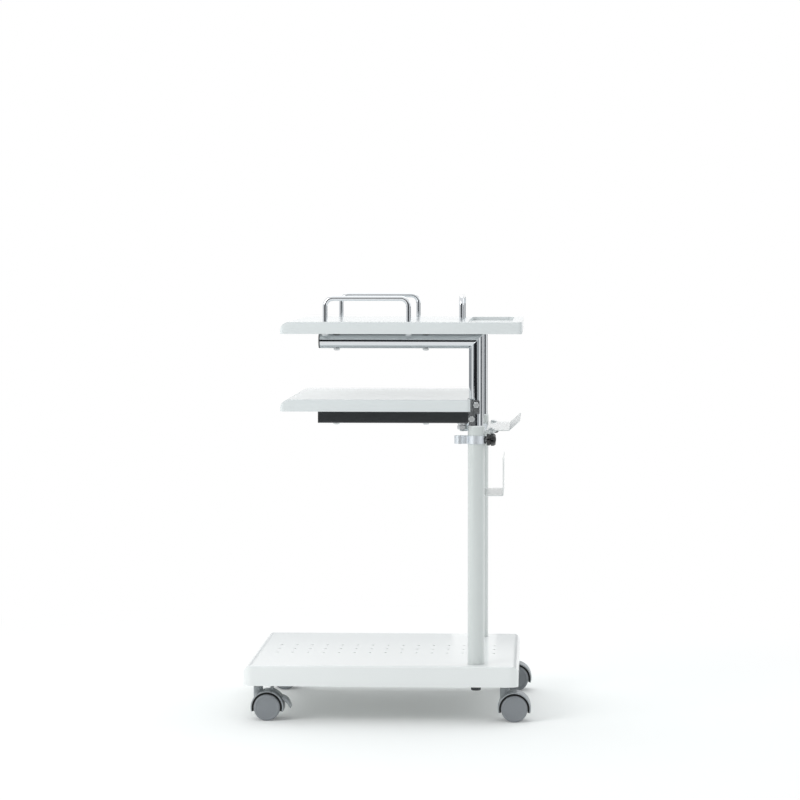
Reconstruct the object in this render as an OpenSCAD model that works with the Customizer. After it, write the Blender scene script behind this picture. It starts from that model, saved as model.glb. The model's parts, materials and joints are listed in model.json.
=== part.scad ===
// Projector cart: a folded steel base on four twin-wheel casters, two telescoping posts,
// and a deck and a lower shelf that rise together and are clamped by two knobs.
// +X is the rear of the cart, -Y its left side, and the floor is Z = 0.
// The origin is on the floor under the middle of the whole cart. All sizes are in millimetres.

/* [Base tray] */
// Length of the base tray, front to rear
base_l = 414; // [380:1:480]
// Width of the base tray and of both shelves
base_w = 400; // [360:1:480]
// Height of the folded tray
tray_h = 31; // [26:1:40]
// Thickness of the tray's steel sheet
sheet_t = 1.6; // [1.2:0.1:2.5]
// Rounding of the tray's front top edge
tray_front_r = 14; // [6:1:20]
// Rounding of the tray's corners in plan
tray_corner_r = 14; // [8:1:20]
// Rounding of the tray's rear top edge
tray_rear_r = 10; // [3:0.5:14]
// Bend radius of the tray's side edges
tray_edge_r = 3; // [3:0.5:5]
// Diameter of a vent hole in the tray
vent_d = 5; // [3:0.5:8]
// Spacing of the vent holes along the tray
vent_step_x = 24; // [18:1:24]
// Spacing of the rows of vent holes across the tray
vent_step_y = 45; // [20:1:60]
// Number of vent holes in a row
vent_cols = 15; // [5:1:15]
// Number of rows of vent holes
vent_rows = 3; // [1:1:5]

/* [Beams under the base] */
// Thickness of the folded beams
beam_t = 2; // [1.5:0.1:3]
// Width of a caster beam
caster_beam_w = 30; // [28:1:30]
// Width of the beam under the posts
post_beam_w = 36; // [32:1:44]

/* [Casters] */
// Wheel diameter
wheel_d = 40; // [36:1:44]
// Width of one wheel
wheel_w = 15; // [12:0.5:18]
// Distance of the caster stems from the front and rear edges of the base
stem_inset_x = 20.5; // [20:0.5:26]
// Distance of the caster stems from the side edges of the base
stem_inset_y = 36; // [34:1:60]
// Trail: how far the axle sits behind the stem
trail = 14.5; // [12:0.5:18]
// Height of the hex collar between a hood and the base
stem_collar_h = 5; // [3:0.5:7]
// Diameter of the stem's pin and thread
stem_d = 8; // [7:0.5:8]
// Diameter of the axle
axle_d = 6; // [5:0.5:7]
// Thickness of the hood's web between the wheels
web_t = 12; // [11:0.5:14]
// Gap between a wheel and the web
wheel_gap = 0.5; // [0.4:0.1:1]
// Gap between a wheel's tread and the hood
tread_gap = 3; // [1.5:0.5:4]
// Thickness of the hood at its side lips
hood_t = 1.6; // [1.2:0.1:2.5]
// How much the hood crowns outwards at its middle
hood_crown = 0.4; // [0:0.2:3]
// How far the hood wraps below the axle, in degrees
hood_wrap = 15; // [0:1:25]
// Height of the stem's boss above the hood
boss_rise = 4.7; // [4.4:0.1:7]
// Wall of the boss round the stem
boss_wall = 3.1; // [2:0.1:4]
// Thickness of the brake lever's strap
lever_t = 2; // [1.6:0.2:3]
// Thickness of the brake lever's pedal
pedal_t = 3.4; // [2:0.2:4]
// Width of the brake lever's pedal
pedal_w = 26; // [20:1:34]
// How far the pedal reaches behind the hood
pedal_reach = 11; // [8:0.5:16]

/* [Posts and columns] */
// Distance of the posts from the rear edge of the base
post_setback = 64; // [60:1:90]
// Distance of the posts from the side edges of the base
post_inset_y = 34.5; // [34:0.5:50]
// Outer diameter of a post
post_d = 25.4; // [25.4:0.1:28]
// Wall of a post
post_wall = 1; // [0.8:0.1:1.2]
// Height of the post tops above the floor
post_top = 444; // [400:1:470]
// Outer diameter of a chrome column
column_d = 22.2; // [21:0.1:22.4]
// Wall of a chrome column and of its arm
column_wall = 1.2; // [1:0.1:2]
// Distance left below a column's glide when the cart is at its lowest
column_foot = 57; // [5:1:80]
// Thickness of the flange of the bushing on a post
bushing_flange_t = 2; // [1:0.5:4]
// Depth of the bushing's skirt inside a post
bushing_skirt = 12; // [6:1:12]

/* [Clamp] */
// Height of the clamp collar
collar_h = 12; // [10:1:16]
// Wall of the clamp collar round the post
collar_wall = 1.8; // [1.5:0.1:4]
// Radius of the collar's nose
nose_r = 8.5; // [6:0.5:10]
// Reach of the nose ahead of the post's axis
nose_reach = 33; // [30:0.5:38]
// Distance of the collar's neck ahead of the post's axis
neck_ahead = 16.2; // [14:0.2:18]
// Depth of the neck on each side
neck_dip = 2.5; // [1:0.5:4]
// Distance from a post's top down to the middle of its collar
collar_drop = 19.3; // [19:0.1:30]
// Diameter of the knob
knob_d = 19; // [16:0.5:24]
// Length of the knob's head
knob_l = 14; // [12:0.5:18]
// Rounding of the knob's end
knob_round = 6; // [2:0.5:7]
// Diameter of the knob's screw
knob_screw_d = 6; // [5:0.5:6]

/* [Deck] */
// Clear height between the lower shelf and the deck
bay_h = 98; // [60:1:140]
// Length of the deck, front to rear
deck_l = 361.5; // [340:0.5:420]
// Reach of the deck behind the posts' axes
deck_rear = 68.5; // [60:0.5:90]
// Thickness of both boards
board_t = 18; // [16:0.5:22]
// Rounding of both boards' front top edges
board_front_r = 14; // [4:0.5:14]
// Rounding of the boards' corners in plan
board_corner_r = 6; // [3:0.5:12]
// Rounding of the boards' side and rear edges
board_edge_r = 1.5; // [0.5:0.5:2.5]
// Length of the pen recess, front to rear
recess_l = 67; // [40:1:67]
// Distance of the pen recess from the deck's rear edge
recess_back = 14.5; // [10:0.5:20]
// Distance of the pen recess from the deck's sides
recess_side = 22; // [20:1:60]
// Depth of the pen recess
recess_depth = 5; // [3:0.5:6]
// Rounding of the pen recess's corners
recess_r = 8; // [3:0.5:12]
// Length of the arms ahead of the posts' axes
arm_reach = 237; // [215:1:260]
// Distance of the front screws from the front ends of arms and rails
screw_in = 27; // [20:1:60]
// Distance of the rear screws ahead of the posts' axes
screw_rear = 76; // [50:1:120]

/* [Guard rails] */
// Diameter of the guard rod
rod_d = 7.6; // [6:0.2:9]
// Distance between a guard's legs
guard_l = 125; // [80:1:160]
// Height of a guard's rod above the deck, at its centreline
guard_h = 35; // [25:1:60]
// Bend radius of a guard at its centreline
guard_r = 12; // [8:0.5:20]
// Distance of the side guards from the deck's sides
guard_inset = 14; // [10:0.5:20]
// Distance of the side guards' front legs from the deck's front edge
guard_front = 67; // [40:1:90]
// Distance of the rear guard from the posts' axes
guard_rear_ahead = 25; // [20:0.5:40]
// Depth to which a guard's leg enters the deck
leg_depth = 12; // [8:0.5:13]

/* [Lower shelf] */
// Height of the lower shelf's rails above the post tops
rail_lift = 6; // [5:0.5:20]
// Reach of the lower shelf ahead of the posts' axes
shelf_front = 293; // [270:0.5:320]
// Distance of the lower shelf's rear edge ahead of the posts' axes
shelf_gap = 8.5; // [5:0.5:9]
// Height of the rails under the lower shelf
rail_h = 18; // [16:0.5:18]
// Width of the rails under the lower shelf
rail_w = 30; // [30:0.5:36]
// Wall of the rails
rail_wall = 1.5; // [1.2:0.1:1.5]
// Reach of the rails ahead of the posts' axes
rail_reach = 237.5; // [215:0.5:260]
// Distance of the rails' rear ends ahead of the posts' axes
rail_gap = 12; // [12:0.5:18]
// Thickness of the shelf brackets
bracket_t = 2; // [1.5:0.1:2]
// Length of the bracket's tang inside a rail
tang_l = 34; // [28:1:60]
// Height of the bracket's upper bolt above the rail's underside
upper_bolt_up = 27.4; // [27:0.2:29]
// Height of the bracket's lower bolt above the rail's underside
lower_bolt_up = 6.3; // [6:0.1:7]
// Distance of the lower bolt ahead of the column's axis
lower_bolt_ahead = 6.8; // [6:0.2:7.2]
// Gap between the lower shelf's notches and the brackets
notch_gap = 2; // [1:0.5:4]

/* [Rear hooks] */
// Thickness of the hook tray and the cord hook
hook_t = 1.2; // [1:0.1:2]
// Width of the hook tray
tray_hook_w = 233; // [180:1:260]
// Depth of the hook tray's flat part behind the posts
tray_hook_flat = 35; // [30:0.5:50]
// Length of the hook tray's sloping lip
tray_hook_lip = 22; // [12:0.5:30]
// Slope of the lip, in degrees
tray_hook_slope = 43; // [30:1:60]
// Depth of the hook tray's underside below the post tops
tray_hook_drop = 9; // [4:0.5:12]
// Distance of the hook tray's screws behind the posts' axes
hook_screw_back = 22; // [20:0.5:28]
// Distance of the hook tray's screws from its ends
hook_screw_in = 6.5; // [6:0.5:20]
// Width of the cord hook
cord_hook_w = 150; // [80:1:200]
// Reach of the cord hook behind the posts' axes
cord_hook_reach = 40; // [30:0.5:60]
// Height of the cord hook's lip
cord_hook_h = 58; // [30:1:80]
// Height of the cord hook's tab on the plate
cord_tab_h = 22; // [16:1:30]
// Height of the cord hook's underside above the plate's lower edge
cord_hook_up = 7.5; // [2:0.5:15]
// Distance of the cord hook's screws from its ends
cord_screw_in = 20; // [10:1:30]
// Height of the plate between the posts
back_plate_h = 108; // [90:1:140]
// Thickness of the plate between the posts
back_plate_t = 2; // [1.5:0.1:3]

/* [Fasteners and clearances] */
// Radial running clearance of pins, axles and columns
run_fit = 0.05; // [0.02:0.01:0.08]
// Gap between pieces that move past each other
clear = 0.3; // [0.2:0.05:0.5]
// Radial clearance of screws in their holes
hole_fit = 0.25; // [0.1:0.05:0.4]
// Radial gap of pieces that are pressed or bedded together
bed_fit = 0.02; // [0.01:0.01:0.05]
// Diameter of the small screws
small_d = 5; // [4:0.5:5]

/* [Hidden] */
$fn = 48;

// Finishes
white_steel = "#e9ecec";
white_board = "#e3e7e8";
chrome = "#c9ccd0";
zinc = "#a9adb0";
black_steel = "#2d3032";
black_plastic = "#1b1c1e";
grey_plastic = "#878b90";
dark_plastic = "#4a4d50";

// Small amount by which cutters overrun a face
eps = 0.5;

// Hex sizes across the flats and heights of the fasteners
m8_flats = 13;
m8_head_h = 5.3;
m8_nut_h = 6.5;
m8_washer_r = 7.5;
m8_washer_h = 1.6;
m8_spring_h = 2;
small_flats = 8;
small_head_h = 3.5;
small_nut_h = 4;
small_proud = 1;
pan_r = 4.8;
pan_h = 3.2;
pan_rim_h = 1.2;

// Casters: heights above the floor, and radii about the axle
axle_z = wheel_d / 2;
wheel_r = wheel_d / 2;
hood_in_r = wheel_r + tread_gap;
hood_lip_r = hood_in_r + hood_t;
hood_out_r = hood_lip_r + hood_crown;
wheel_y0 = web_t / 2 + wheel_gap;
wheel_y1 = wheel_y0 + wheel_w;
hood_inset = 2.5;
hood_half_w = wheel_y1 - hood_inset;
boss_r = stem_d / 2 + boss_wall;
boss_top = hood_out_r + boss_rise;
socket_floor = 8;
socket_t = 4;
stem_tip = socket_floor + 0.5;
axle_inset = 2.8;
axle_end = wheel_y1 - axle_inset;

// Base: its middle, set so that the rear casters' overhang is shared, and heights above the floor
base_x = -(trail + hood_out_r - stem_inset_x) / 2;
base_z = axle_z + boss_top + clear + stem_collar_h;
tray_top = base_z + tray_h;
front_stem_x = base_x - base_l / 2 + stem_inset_x;
rear_stem_x = base_x + base_l / 2 - stem_inset_x;
stem_y = base_w / 2 - stem_inset_y;

// Posts
post_x = base_x + base_l / 2 - post_setback;
post_y = base_w / 2 - post_inset_y;
post_r = post_d / 2;
post_bore_r = post_r - post_wall;
post_z0 = base_z + beam_t;
plug_h = 12;
post_bolt_up = 20;
column_r = column_d / 2;
column_in_r = column_r - column_wall;
glide_h = 4;
glide_plug_h = 14;
column_z0 = post_z0 + plug_h + glide_h + column_foot;

// Lower shelf, its rails and its brackets
rail_z0 = post_top + rail_lift;
shelf_under = rail_z0 + rail_h;
shelf_z = shelf_under + board_t;
shelf_x0 = post_x - shelf_front;
shelf_x1 = post_x - shelf_gap;
rail_x0 = post_x - rail_reach;
rail_x1 = post_x - rail_gap;
cheek_in = column_r + clear;
cheek_out = cheek_in + bracket_t;
notch_half = cheek_out + notch_gap;
notch_x0 = post_x - column_r - notch_gap;
lobe_ahead = 10.2;
lobe_l = 15.5;
lobe_h = 21;
lobe_down = 1;
rail_edge_r = 1.5;
washer_gap = 0.8;
rail_bolt_x = post_x - post_r - m8_washer_r - washer_gap;
bolt_proud = 2.4;

// Deck and arms
deck_under = shelf_z + bay_h;
deck_z = deck_under + board_t;
arm_z = deck_under - column_r;
deck_x1 = post_x + deck_rear;
deck_x0 = deck_x1 - deck_l;
arm_x0 = post_x - arm_reach;
cap_t = 2;
cap_plug = 12;
screw_bite = 12;
screw_seat = 0.2;
saddle_r = 7;
saddle_h = 6;

// Clamp
collar_z = post_top - collar_drop;
collar_r = post_r + collar_wall;
knob_neck = 1;
knob_floor = 3;
neck_wall = 2.2;

// Hooks
hook_bend = 2;
tray_hook_z = post_top - tray_hook_drop;
tray_hook_x0 = post_x + post_r + 1;
hook_screw_x = post_x + hook_screw_back;
hook_screw_y = tray_hook_w / 2 - hook_screw_in;
lug_w = 14;
lug_t = 1.5;
plate_top = tray_hook_z - lug_t;
plate_bottom = plate_top - back_plate_h;
cord_hook_z = plate_bottom + cord_hook_up;
cord_screw_y = cord_hook_w / 2 - cord_screw_in;

// Direction, left-hand normal and rotation of plane vectors
function way(a, b) = (b - a) / norm(b - a);
function left_of(u) = [-u[1], u[0]];
function turned(v, a) = [v[0] * cos(a) - v[1] * sin(a), v[0] * sin(a) + v[1] * cos(a)];

// One corner of a bent strip: an arc of radius r at the path, seen at the offset d to its left
function bend_points(p, u, v, r, d, steps) =
    let (
        turn = atan2(u[0] * v[1] - u[1] * v[0], u * v),
        s = sign(turn),
        centre = p - u * r * tan(abs(turn) / 2) + s * r * left_of(u)
    )
    [for (k = [0 : steps]) centre + (d - s * r) * turned(left_of(u), turn * k / steps)];

// One side of a bent strip
function strip_side(path, r, d, steps) =
    let (last = len(path) - 1)
    [
        for (i = [0 : last])
            each i == 0 ? [path[0] + d * left_of(way(path[0], path[1]))]
            : i == last ? [path[last] + d * left_of(way(path[last - 1], path[last]))]
            : bend_points(path[i], way(path[i - 1], path[i]), way(path[i], path[i + 1]), r, d, steps)
    ];

// A strip of thickness t bent along a path, its corners turned at radius r
module bent_strip(path, r, t, steps = 6) {
    outer = strip_side(path, r, t / 2, steps);
    inner = strip_side(path, r, -t / 2, steps);
    polygon(concat(outer, [for (i = [len(inner) - 1 : -1 : 0]) inner[i]]));
}

// Draws an X-Z profile through the width w, centred on Y = 0
module across(w) {
    rotate([90, 0, 0]) linear_extrude(w, center = true) children();
}

// Draws a Y-Z profile through the length l, centred on X = 0
module along(l) {
    rotate([90, 0, 90]) linear_extrude(l, center = true) children();
}

// Repeats a left-hand piece on the right
module both_sides() {
    children();
    mirror([0, 1, 0]) children();
}

// The waste outside a rounded corner that points to +X, +Y
module corner_waste(r) {
    difference() {
        square(r + eps);
        circle(r);
    }
}

// A rectangle in plan with four rounded corners, centred
module rounded_plan(l, w, r) {
    square([l - 2 * r, w], center = true);
    square([l, w - 2 * r], center = true);
    for (x = [-1, 1], y = [-1, 1]) translate([x * (l / 2 - r), y * (w / 2 - r)]) circle(r);
}

// An upright rectangle from x0 to x1 and z0 to z1 with rounded top corners
module arched_profile(x0, x1, z0, z1, r0, r1) {
    difference() {
        translate([x0, z0]) square([x1 - x0, z1 - z0]);
        translate([x0 + r0, z1 - r0]) mirror([1, 0]) corner_waste(r0);
        translate([x1 - r1, z1 - r1]) corner_waste(r1);
    }
}

// A slab with rounded plan corners and its own rounding along the front, rear and side top edges
module slab(x0, x1, w, z0, z1, corner_r, front_r, rear_r, edge_r) {
    mid = (x0 + x1) / 2;
    intersection() {
        translate([mid, 0, z0]) linear_extrude(z1 - z0) rounded_plan(x1 - x0, w, corner_r);
        across(w + 2) arched_profile(x0, x1, z0, z1, front_r, rear_r);
        translate([mid, 0, 0]) along(x1 - x0 + 2) arched_profile(-w / 2, w / 2, z0, z1, edge_r, edge_r);
    }
}

// A hexagonal prism, standing on Z = 0
module hex(flats, h) {
    cylinder(d = flats / cos(30), h = h, $fn = 6);
}

// A nut with a clear hole, standing on Z = 0
module nut(flats, h, d) {
    difference() {
        hex(flats, h);
        translate([0, 0, -eps]) cylinder(r = d / 2 + run_fit, h = h + 2 * eps);
    }
}

// A pan-head screw, its head below Z = 0 and its shank above
module pan_screw(shank) {
    translate([0, 0, -pan_h]) cylinder(r1 = pan_r - 1, r2 = pan_r, h = pan_h - pan_rim_h);
    translate([0, 0, -pan_rim_h]) cylinder(r = pan_r, h = pan_rim_h);
    cylinder(d = small_d, h = shank);
}

// The space inside the tray at the depth t from its outer faces
module tray_space(t) {
    half = base_l / 2 - t;
    slab(base_x - half, base_x + half, base_w - 2 * t, base_z - (t > 0 ? eps : 0), tray_top - t,
        tray_corner_r - t, tray_front_r - t, tray_rear_r - t, tray_edge_r - t);
}

// Folded steel tray with vent holes and two holes for the posts
module base_tray() {
    color(white_steel) difference() {
        tray_space(0);
        tray_space(sheet_t);
        for (i = [0 : vent_cols - 1], j = [0 : vent_rows - 1])
            translate([
                base_x + (i - (vent_cols - 1) / 2) * vent_step_x,
                (j - (vent_rows - 1) / 2) * vent_step_y,
                tray_top - sheet_t - eps
            ])
                cylinder(d = vent_d, h = sheet_t + 2 * eps, $fn = 24);
        both_sides() translate([post_x, -post_y, tray_top - sheet_t - eps])
            cylinder(r = post_r + clear, h = sheet_t + 2 * eps);
    }
}

// Channel welded across the underside of the tray, its web level with the tray's lower edge
module channel_beam(x, w, hole_y, hole_r) {
    difference() {
        intersection() {
            difference() {
                translate([x - w / 2, -base_w / 2, base_z]) cube([w, base_w, tray_h]);
                translate([x - w / 2 + beam_t, -base_w / 2 - eps, base_z + beam_t])
                    cube([w - 2 * beam_t, base_w + 2 * eps, tray_h]);
            }
            tray_space(sheet_t);
        }
        both_sides() translate([x, -hole_y, base_z - eps]) cylinder(r = hole_r, h = beam_t + 2 * eps);
    }
}

module front_caster_beam() {
    color(white_steel) channel_beam(front_stem_x, caster_beam_w, stem_y, stem_d / 2 + hole_fit);
}

module rear_caster_beam() {
    color(white_steel) channel_beam(rear_stem_x, caster_beam_w, stem_y, stem_d / 2 + hole_fit);
}

module post_beam() {
    color(white_steel) channel_beam(post_x, post_beam_w, post_y, stem_d / 2 + hole_fit);
}

// Left post: a tube on the beam's web with a threaded plug welded into its foot
module post() {
    h = post_top - post_z0;
    color(white_steel) translate([post_x, -post_y, post_z0]) difference() {
        cylinder(r = post_r, h = h);
        translate([0, 0, plug_h]) cylinder(r = post_bore_r, h = h);
        translate([0, 0, -eps]) cylinder(r = stem_d / 2 + run_fit, h = plug_h + 2 * eps);
        translate([0, 0, collar_z - post_z0]) rotate([0, 90, 0])
            cylinder(r = knob_screw_d / 2 + hole_fit, h = post_r + eps);
    }
}

module post_left() {
    post();
}

module post_right() {
    mirror([0, 1, 0]) post();
}

// Hex bolts with flat and spring washers that pull the posts onto their beam
module post_bolts() {
    color(zinc) both_sides() translate([post_x, -post_y, base_z]) {
        translate([0, 0, -m8_washer_h]) cylinder(r = m8_washer_r, h = m8_washer_h);
        translate([0, 0, -m8_washer_h - m8_spring_h]) cylinder(r = m8_washer_r - 1, h = m8_spring_h);
        translate([0, 0, -m8_washer_h - m8_spring_h - m8_head_h]) hex(m8_flats, m8_head_h);
        translate([0, 0, -m8_washer_h]) cylinder(d = stem_d, h = post_bolt_up);
    }
}

// Bushings that guide the columns in the mouths of the posts
module post_bushings() {
    color(white_steel) both_sides() translate([post_x, -post_y, post_top]) difference() {
        union() {
            translate([0, 0, -bushing_skirt]) cylinder(r = post_bore_r - run_fit, h = bushing_skirt + eps);
            cylinder(r = post_r, h = bushing_flange_t);
        }
        translate([0, 0, -bushing_skirt - eps])
            cylinder(r = column_r + run_fit, h = bushing_skirt + bushing_flange_t + 2 * eps);
    }
}

// Plan of the clamp collar about the post's axis: a ring with a necked nose at the front
module collar_plan() {
    nose_x = -(nose_reach - nose_r);
    waist = nose_r - neck_dip;
    circle(collar_r);
    translate([nose_x, 0]) circle(nose_r);
    difference() {
        translate([nose_x, -nose_r]) square([-nose_x, 2 * nose_r]);
        for (y = [-1, 1]) translate([-neck_ahead, y * (waist + nose_r)]) circle(nose_r);
    }
}

// Left clamp collar
module collar() {
    color(chrome) translate([post_x, -post_y, collar_z - collar_h / 2]) difference() {
        linear_extrude(collar_h) collar_plan();
        translate([0, 0, -eps]) cylinder(r = post_r + run_fit, h = collar_h + 2 * eps);
        translate([0, 0, collar_h / 2]) rotate([0, 90, 0])
            cylinder(r = knob_screw_d / 2 + run_fit, h = collar_r + eps);
    }
}

module collar_left() {
    collar();
}

module collar_right() {
    mirror([0, 1, 0]) collar();
}

// Plate between the posts, with two lugs under the hook tray and notches round the collars
module back_plate() {
    color(white_steel) difference() {
        union() {
            translate([post_x - back_plate_t / 2, -post_y, plate_bottom])
                cube([back_plate_t, 2 * post_y, back_plate_h]);
            both_sides() translate([post_x - back_plate_t / 2, -hook_screw_y - lug_w / 2, plate_top])
                cube([hook_screw_x - post_x + back_plate_t / 2 + lug_w / 2, lug_w, lug_t]);
        }
        both_sides() translate([post_x, -post_y, 0]) {
            translate([0, 0, plate_bottom - eps]) cylinder(r = post_r + run_fit, h = back_plate_h + 2 * eps);
            translate([0, 0, collar_z - collar_h / 2 - eps])
                cylinder(r = collar_r + clear, h = collar_h + 2 * eps);
        }
        both_sides() translate([hook_screw_x, -hook_screw_y, plate_top - eps])
            cylinder(r = small_d / 2 + hole_fit, h = lug_t + 2 * eps);
        both_sides() translate([post_x - back_plate_t, -cord_screw_y, cord_hook_z + cord_tab_h / 2])
            rotate([0, 90, 0]) cylinder(r = small_d / 2 + hole_fit, h = 2 * back_plate_t);
    }
}

// Tray behind the posts with a sloping lip, bent from one sheet
module hook_tray() {
    x0 = tray_hook_x0;
    z = tray_hook_z + hook_t / 2;
    bend_x = x0 + tray_hook_flat;
    lip = [bend_x, z] + tray_hook_lip * [cos(tray_hook_slope), sin(tray_hook_slope)];
    color(white_steel) difference() {
        across(tray_hook_w) bent_strip([[x0, z], [bend_x, z], lip], hook_bend, hook_t);
        both_sides() translate([hook_screw_x, -hook_screw_y, tray_hook_z - eps])
            cylinder(r = small_d / 2 + hole_fit, h = hook_t + 2 * eps);
    }
}

// Hook that carries a wound cord, bent from one sheet and screwed to the back plate
module cord_hook() {
    x0 = post_x + (back_plate_t + hook_t) / 2;
    x1 = post_x + cord_hook_reach - hook_t / 2;
    path = [
        [x0, cord_hook_z + cord_tab_h], [x0, cord_hook_z],
        [x1, cord_hook_z], [x1, cord_hook_z + cord_hook_h]
    ];
    color(white_steel) difference() {
        across(cord_hook_w) bent_strip(path, hook_bend, hook_t);
        both_sides() translate([x0 - hook_t, -cord_screw_y, cord_hook_z + cord_tab_h / 2])
            rotate([0, 90, 0]) cylinder(r = small_d / 2 + hole_fit, h = 2 * hook_t);
    }
}

// Small screws and nuts of the hook tray and the cord hook
module hook_screws() {
    stack = lug_t + hook_t;
    pack = back_plate_t + hook_t;
    color(zinc) both_sides() {
        translate([hook_screw_x, -hook_screw_y, tray_hook_z + hook_t]) mirror([0, 0, 1])
            pan_screw(stack + small_nut_h + small_proud);
        translate([hook_screw_x, -hook_screw_y, plate_top - small_nut_h])
            nut(small_flats, small_nut_h, small_d);
        translate([post_x + back_plate_t / 2 + hook_t, -cord_screw_y, cord_hook_z + cord_tab_h / 2])
            rotate([0, -90, 0]) {
                pan_screw(pack + small_nut_h + small_proud);
                translate([0, 0, pack]) nut(small_flats, small_nut_h, small_d);
            }
    }
}

// Repeats a piece at the four stems, which stand on Z = 0 at the height of the beams' webs
module at_stems() {
    for (x = [front_stem_x, rear_stem_x], y = [-1, 1]) translate([x, y * stem_y, base_z]) children();
}

// Caster stems: a swivel pin, a hex collar and a thread through the beam
module caster_stems() {
    pin_l = boss_top + clear - stem_tip;
    color(zinc) at_stems() {
        translate([0, 0, -stem_collar_h - pin_l]) cylinder(d = stem_d, h = pin_l + 1);
        translate([0, 0, -stem_collar_h]) hex(m8_flats, stem_collar_h);
        translate([0, 0, -1]) cylinder(d = stem_d, h = beam_t + m8_nut_h + 3);
    }
}

module caster_nuts() {
    color(zinc) at_stems() translate([0, 0, beam_t]) nut(m8_flats, m8_nut_h, stem_d);
}

// The side of the mitre that a horizontal arm and an upright column are cut away on
module mitre_waste(below) {
    size = 4 * column_r;
    translate([post_x, -post_y, arm_z]) rotate([0, 45, 0])
        translate([below ? 0 : -size, -size / 2, -size]) cube([size, size, 2 * size]);
}

// Left column: an upright tube, mitred at its top
module column() {
    h = arm_z + column_r - column_z0;
    color(chrome) difference() {
        translate([post_x, -post_y, column_z0]) difference() {
            cylinder(r = column_r, h = h);
            translate([0, 0, -eps]) cylinder(r = column_in_r, h = h + 2 * eps);
        }
        mitre_waste(false);
        translate([post_x, -post_y, rail_z0 + upper_bolt_up]) rotate([90, 0, 0])
            cylinder(r = small_d / 2 + hole_fit, h = 4 * column_r, center = true);
        translate([post_x - lower_bolt_ahead, -post_y, rail_z0 + lower_bolt_up]) rotate([90, 0, 0])
            cylinder(r = small_d / 2 + hole_fit, h = 4 * column_r, center = true);
    }
}

module column_left() {
    column();
}

module column_right() {
    mirror([0, 1, 0]) column();
}

// Left arm: a level tube under the deck, mitred where it is welded to its column
module arm() {
    l = post_x + column_r - arm_x0 - cap_t;
    color(chrome) difference() {
        translate([arm_x0 + cap_t, -post_y, arm_z]) rotate([0, 90, 0]) difference() {
            cylinder(r = column_r, h = l);
            translate([0, 0, -eps]) cylinder(r = column_in_r, h = l + 2 * eps);
        }
        mitre_waste(true);
        for (x = [arm_x0 + screw_in, post_x - screw_rear]) translate([x, -post_y, arm_z - 2 * column_r])
            cylinder(r = small_d / 2 + hole_fit, h = 4 * column_r);
    }
}

module arm_left() {
    arm();
}

module arm_right() {
    mirror([0, 1, 0]) arm();
}

// Plastic plugs in the front ends of the arms and of the lower shelf's rails
module end_caps() {
    plug_gap = rail_wall + run_fit;
    color(dark_plastic) both_sides() {
        translate([arm_x0, -post_y, arm_z]) rotate([0, 90, 0]) {
            cylinder(r1 = column_r - 0.8, r2 = column_r, h = cap_t / 2);
            translate([0, 0, cap_t / 2]) cylinder(r = column_r, h = cap_t / 2);
            translate([0, 0, cap_t]) cylinder(r = column_in_r - run_fit, h = cap_plug);
        }
        translate([rail_x0, -post_y, rail_z0 + rail_h / 2]) rotate([90, 0, 90]) {
            linear_extrude(cap_t) rounded_plan(rail_w, rail_h, rail_edge_r);
            translate([0, 0, cap_t]) linear_extrude(cap_plug)
                square([rail_w - 2 * plug_gap, rail_h - 2 * plug_gap], center = true);
        }
    }
}

// Plastic glides plugged into the lower ends of the columns
module column_glides() {
    color(dark_plastic) both_sides() translate([post_x, -post_y, column_z0]) {
        translate([0, 0, -glide_h]) cylinder(r = post_bore_r - run_fit, h = glide_h);
        cylinder(r = column_in_r - run_fit, h = glide_plug_h);
    }
}

// Places a piece at each guard leg, on the deck's top face
module at_guard_legs() {
    for (x = [0, guard_l], y = [-1, 1])
        translate([deck_x0 + guard_front + x, y * (base_w / 2 - guard_inset), deck_z]) children();
    for (y = [-1, 1]) translate([post_x - guard_rear_ahead, y * guard_l / 2, deck_z]) children();
}

// Places a piece at each screw under the arms or rails whose front ends are at x0, on the plane z
module at_board_screws(x0, z) {
    for (x = [x0 + screw_in, post_x - screw_rear]) both_sides() translate([x, -post_y, z]) children();
}

// Deck board with its pen recess and the holes for guards and screws
module top_shelf() {
    recess_w = base_w - 2 * recess_side;
    color(white_board) difference() {
        slab(deck_x0, deck_x1, base_w, deck_under, deck_z,
            board_corner_r, board_front_r, board_edge_r, board_edge_r);
        translate([deck_x1 - recess_back - recess_l / 2, 0, deck_z - recess_depth])
            linear_extrude(recess_depth + eps) rounded_plan(recess_l, recess_w, recess_r);
        at_guard_legs() {
            translate([0, 0, -leg_depth]) cylinder(r = rod_d / 2 + hole_fit, h = leg_depth + eps);
            translate([0, 0, -board_t - eps]) cylinder(r = small_d / 2 + hole_fit, h = board_t);
        }
        at_board_screws(arm_x0, deck_under - eps)
            cylinder(r = small_d / 2 + run_fit, h = screw_bite + 2 * eps);
    }
}

// Screws from below through the arms into the deck
module arm_screws() {
    color(zinc) at_board_screws(arm_x0, arm_z - column_r - screw_seat)
        pan_screw(2 * column_r + screw_bite);
}

// Saddle washers that seat the round arms against the flat deck
module arm_saddles() {
    color(black_plastic) difference() {
        at_board_screws(arm_x0, deck_under - saddle_h) difference() {
            cylinder(r = saddle_r, h = saddle_h);
            translate([0, 0, -eps]) cylinder(r = small_d / 2 + hole_fit, h = saddle_h + 2 * eps);
        }
        both_sides() translate([arm_x0, -post_y, arm_z]) rotate([0, 90, 0])
            cylinder(r = column_r + bed_fit, h = 2 * arm_reach);
    }
}

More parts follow.
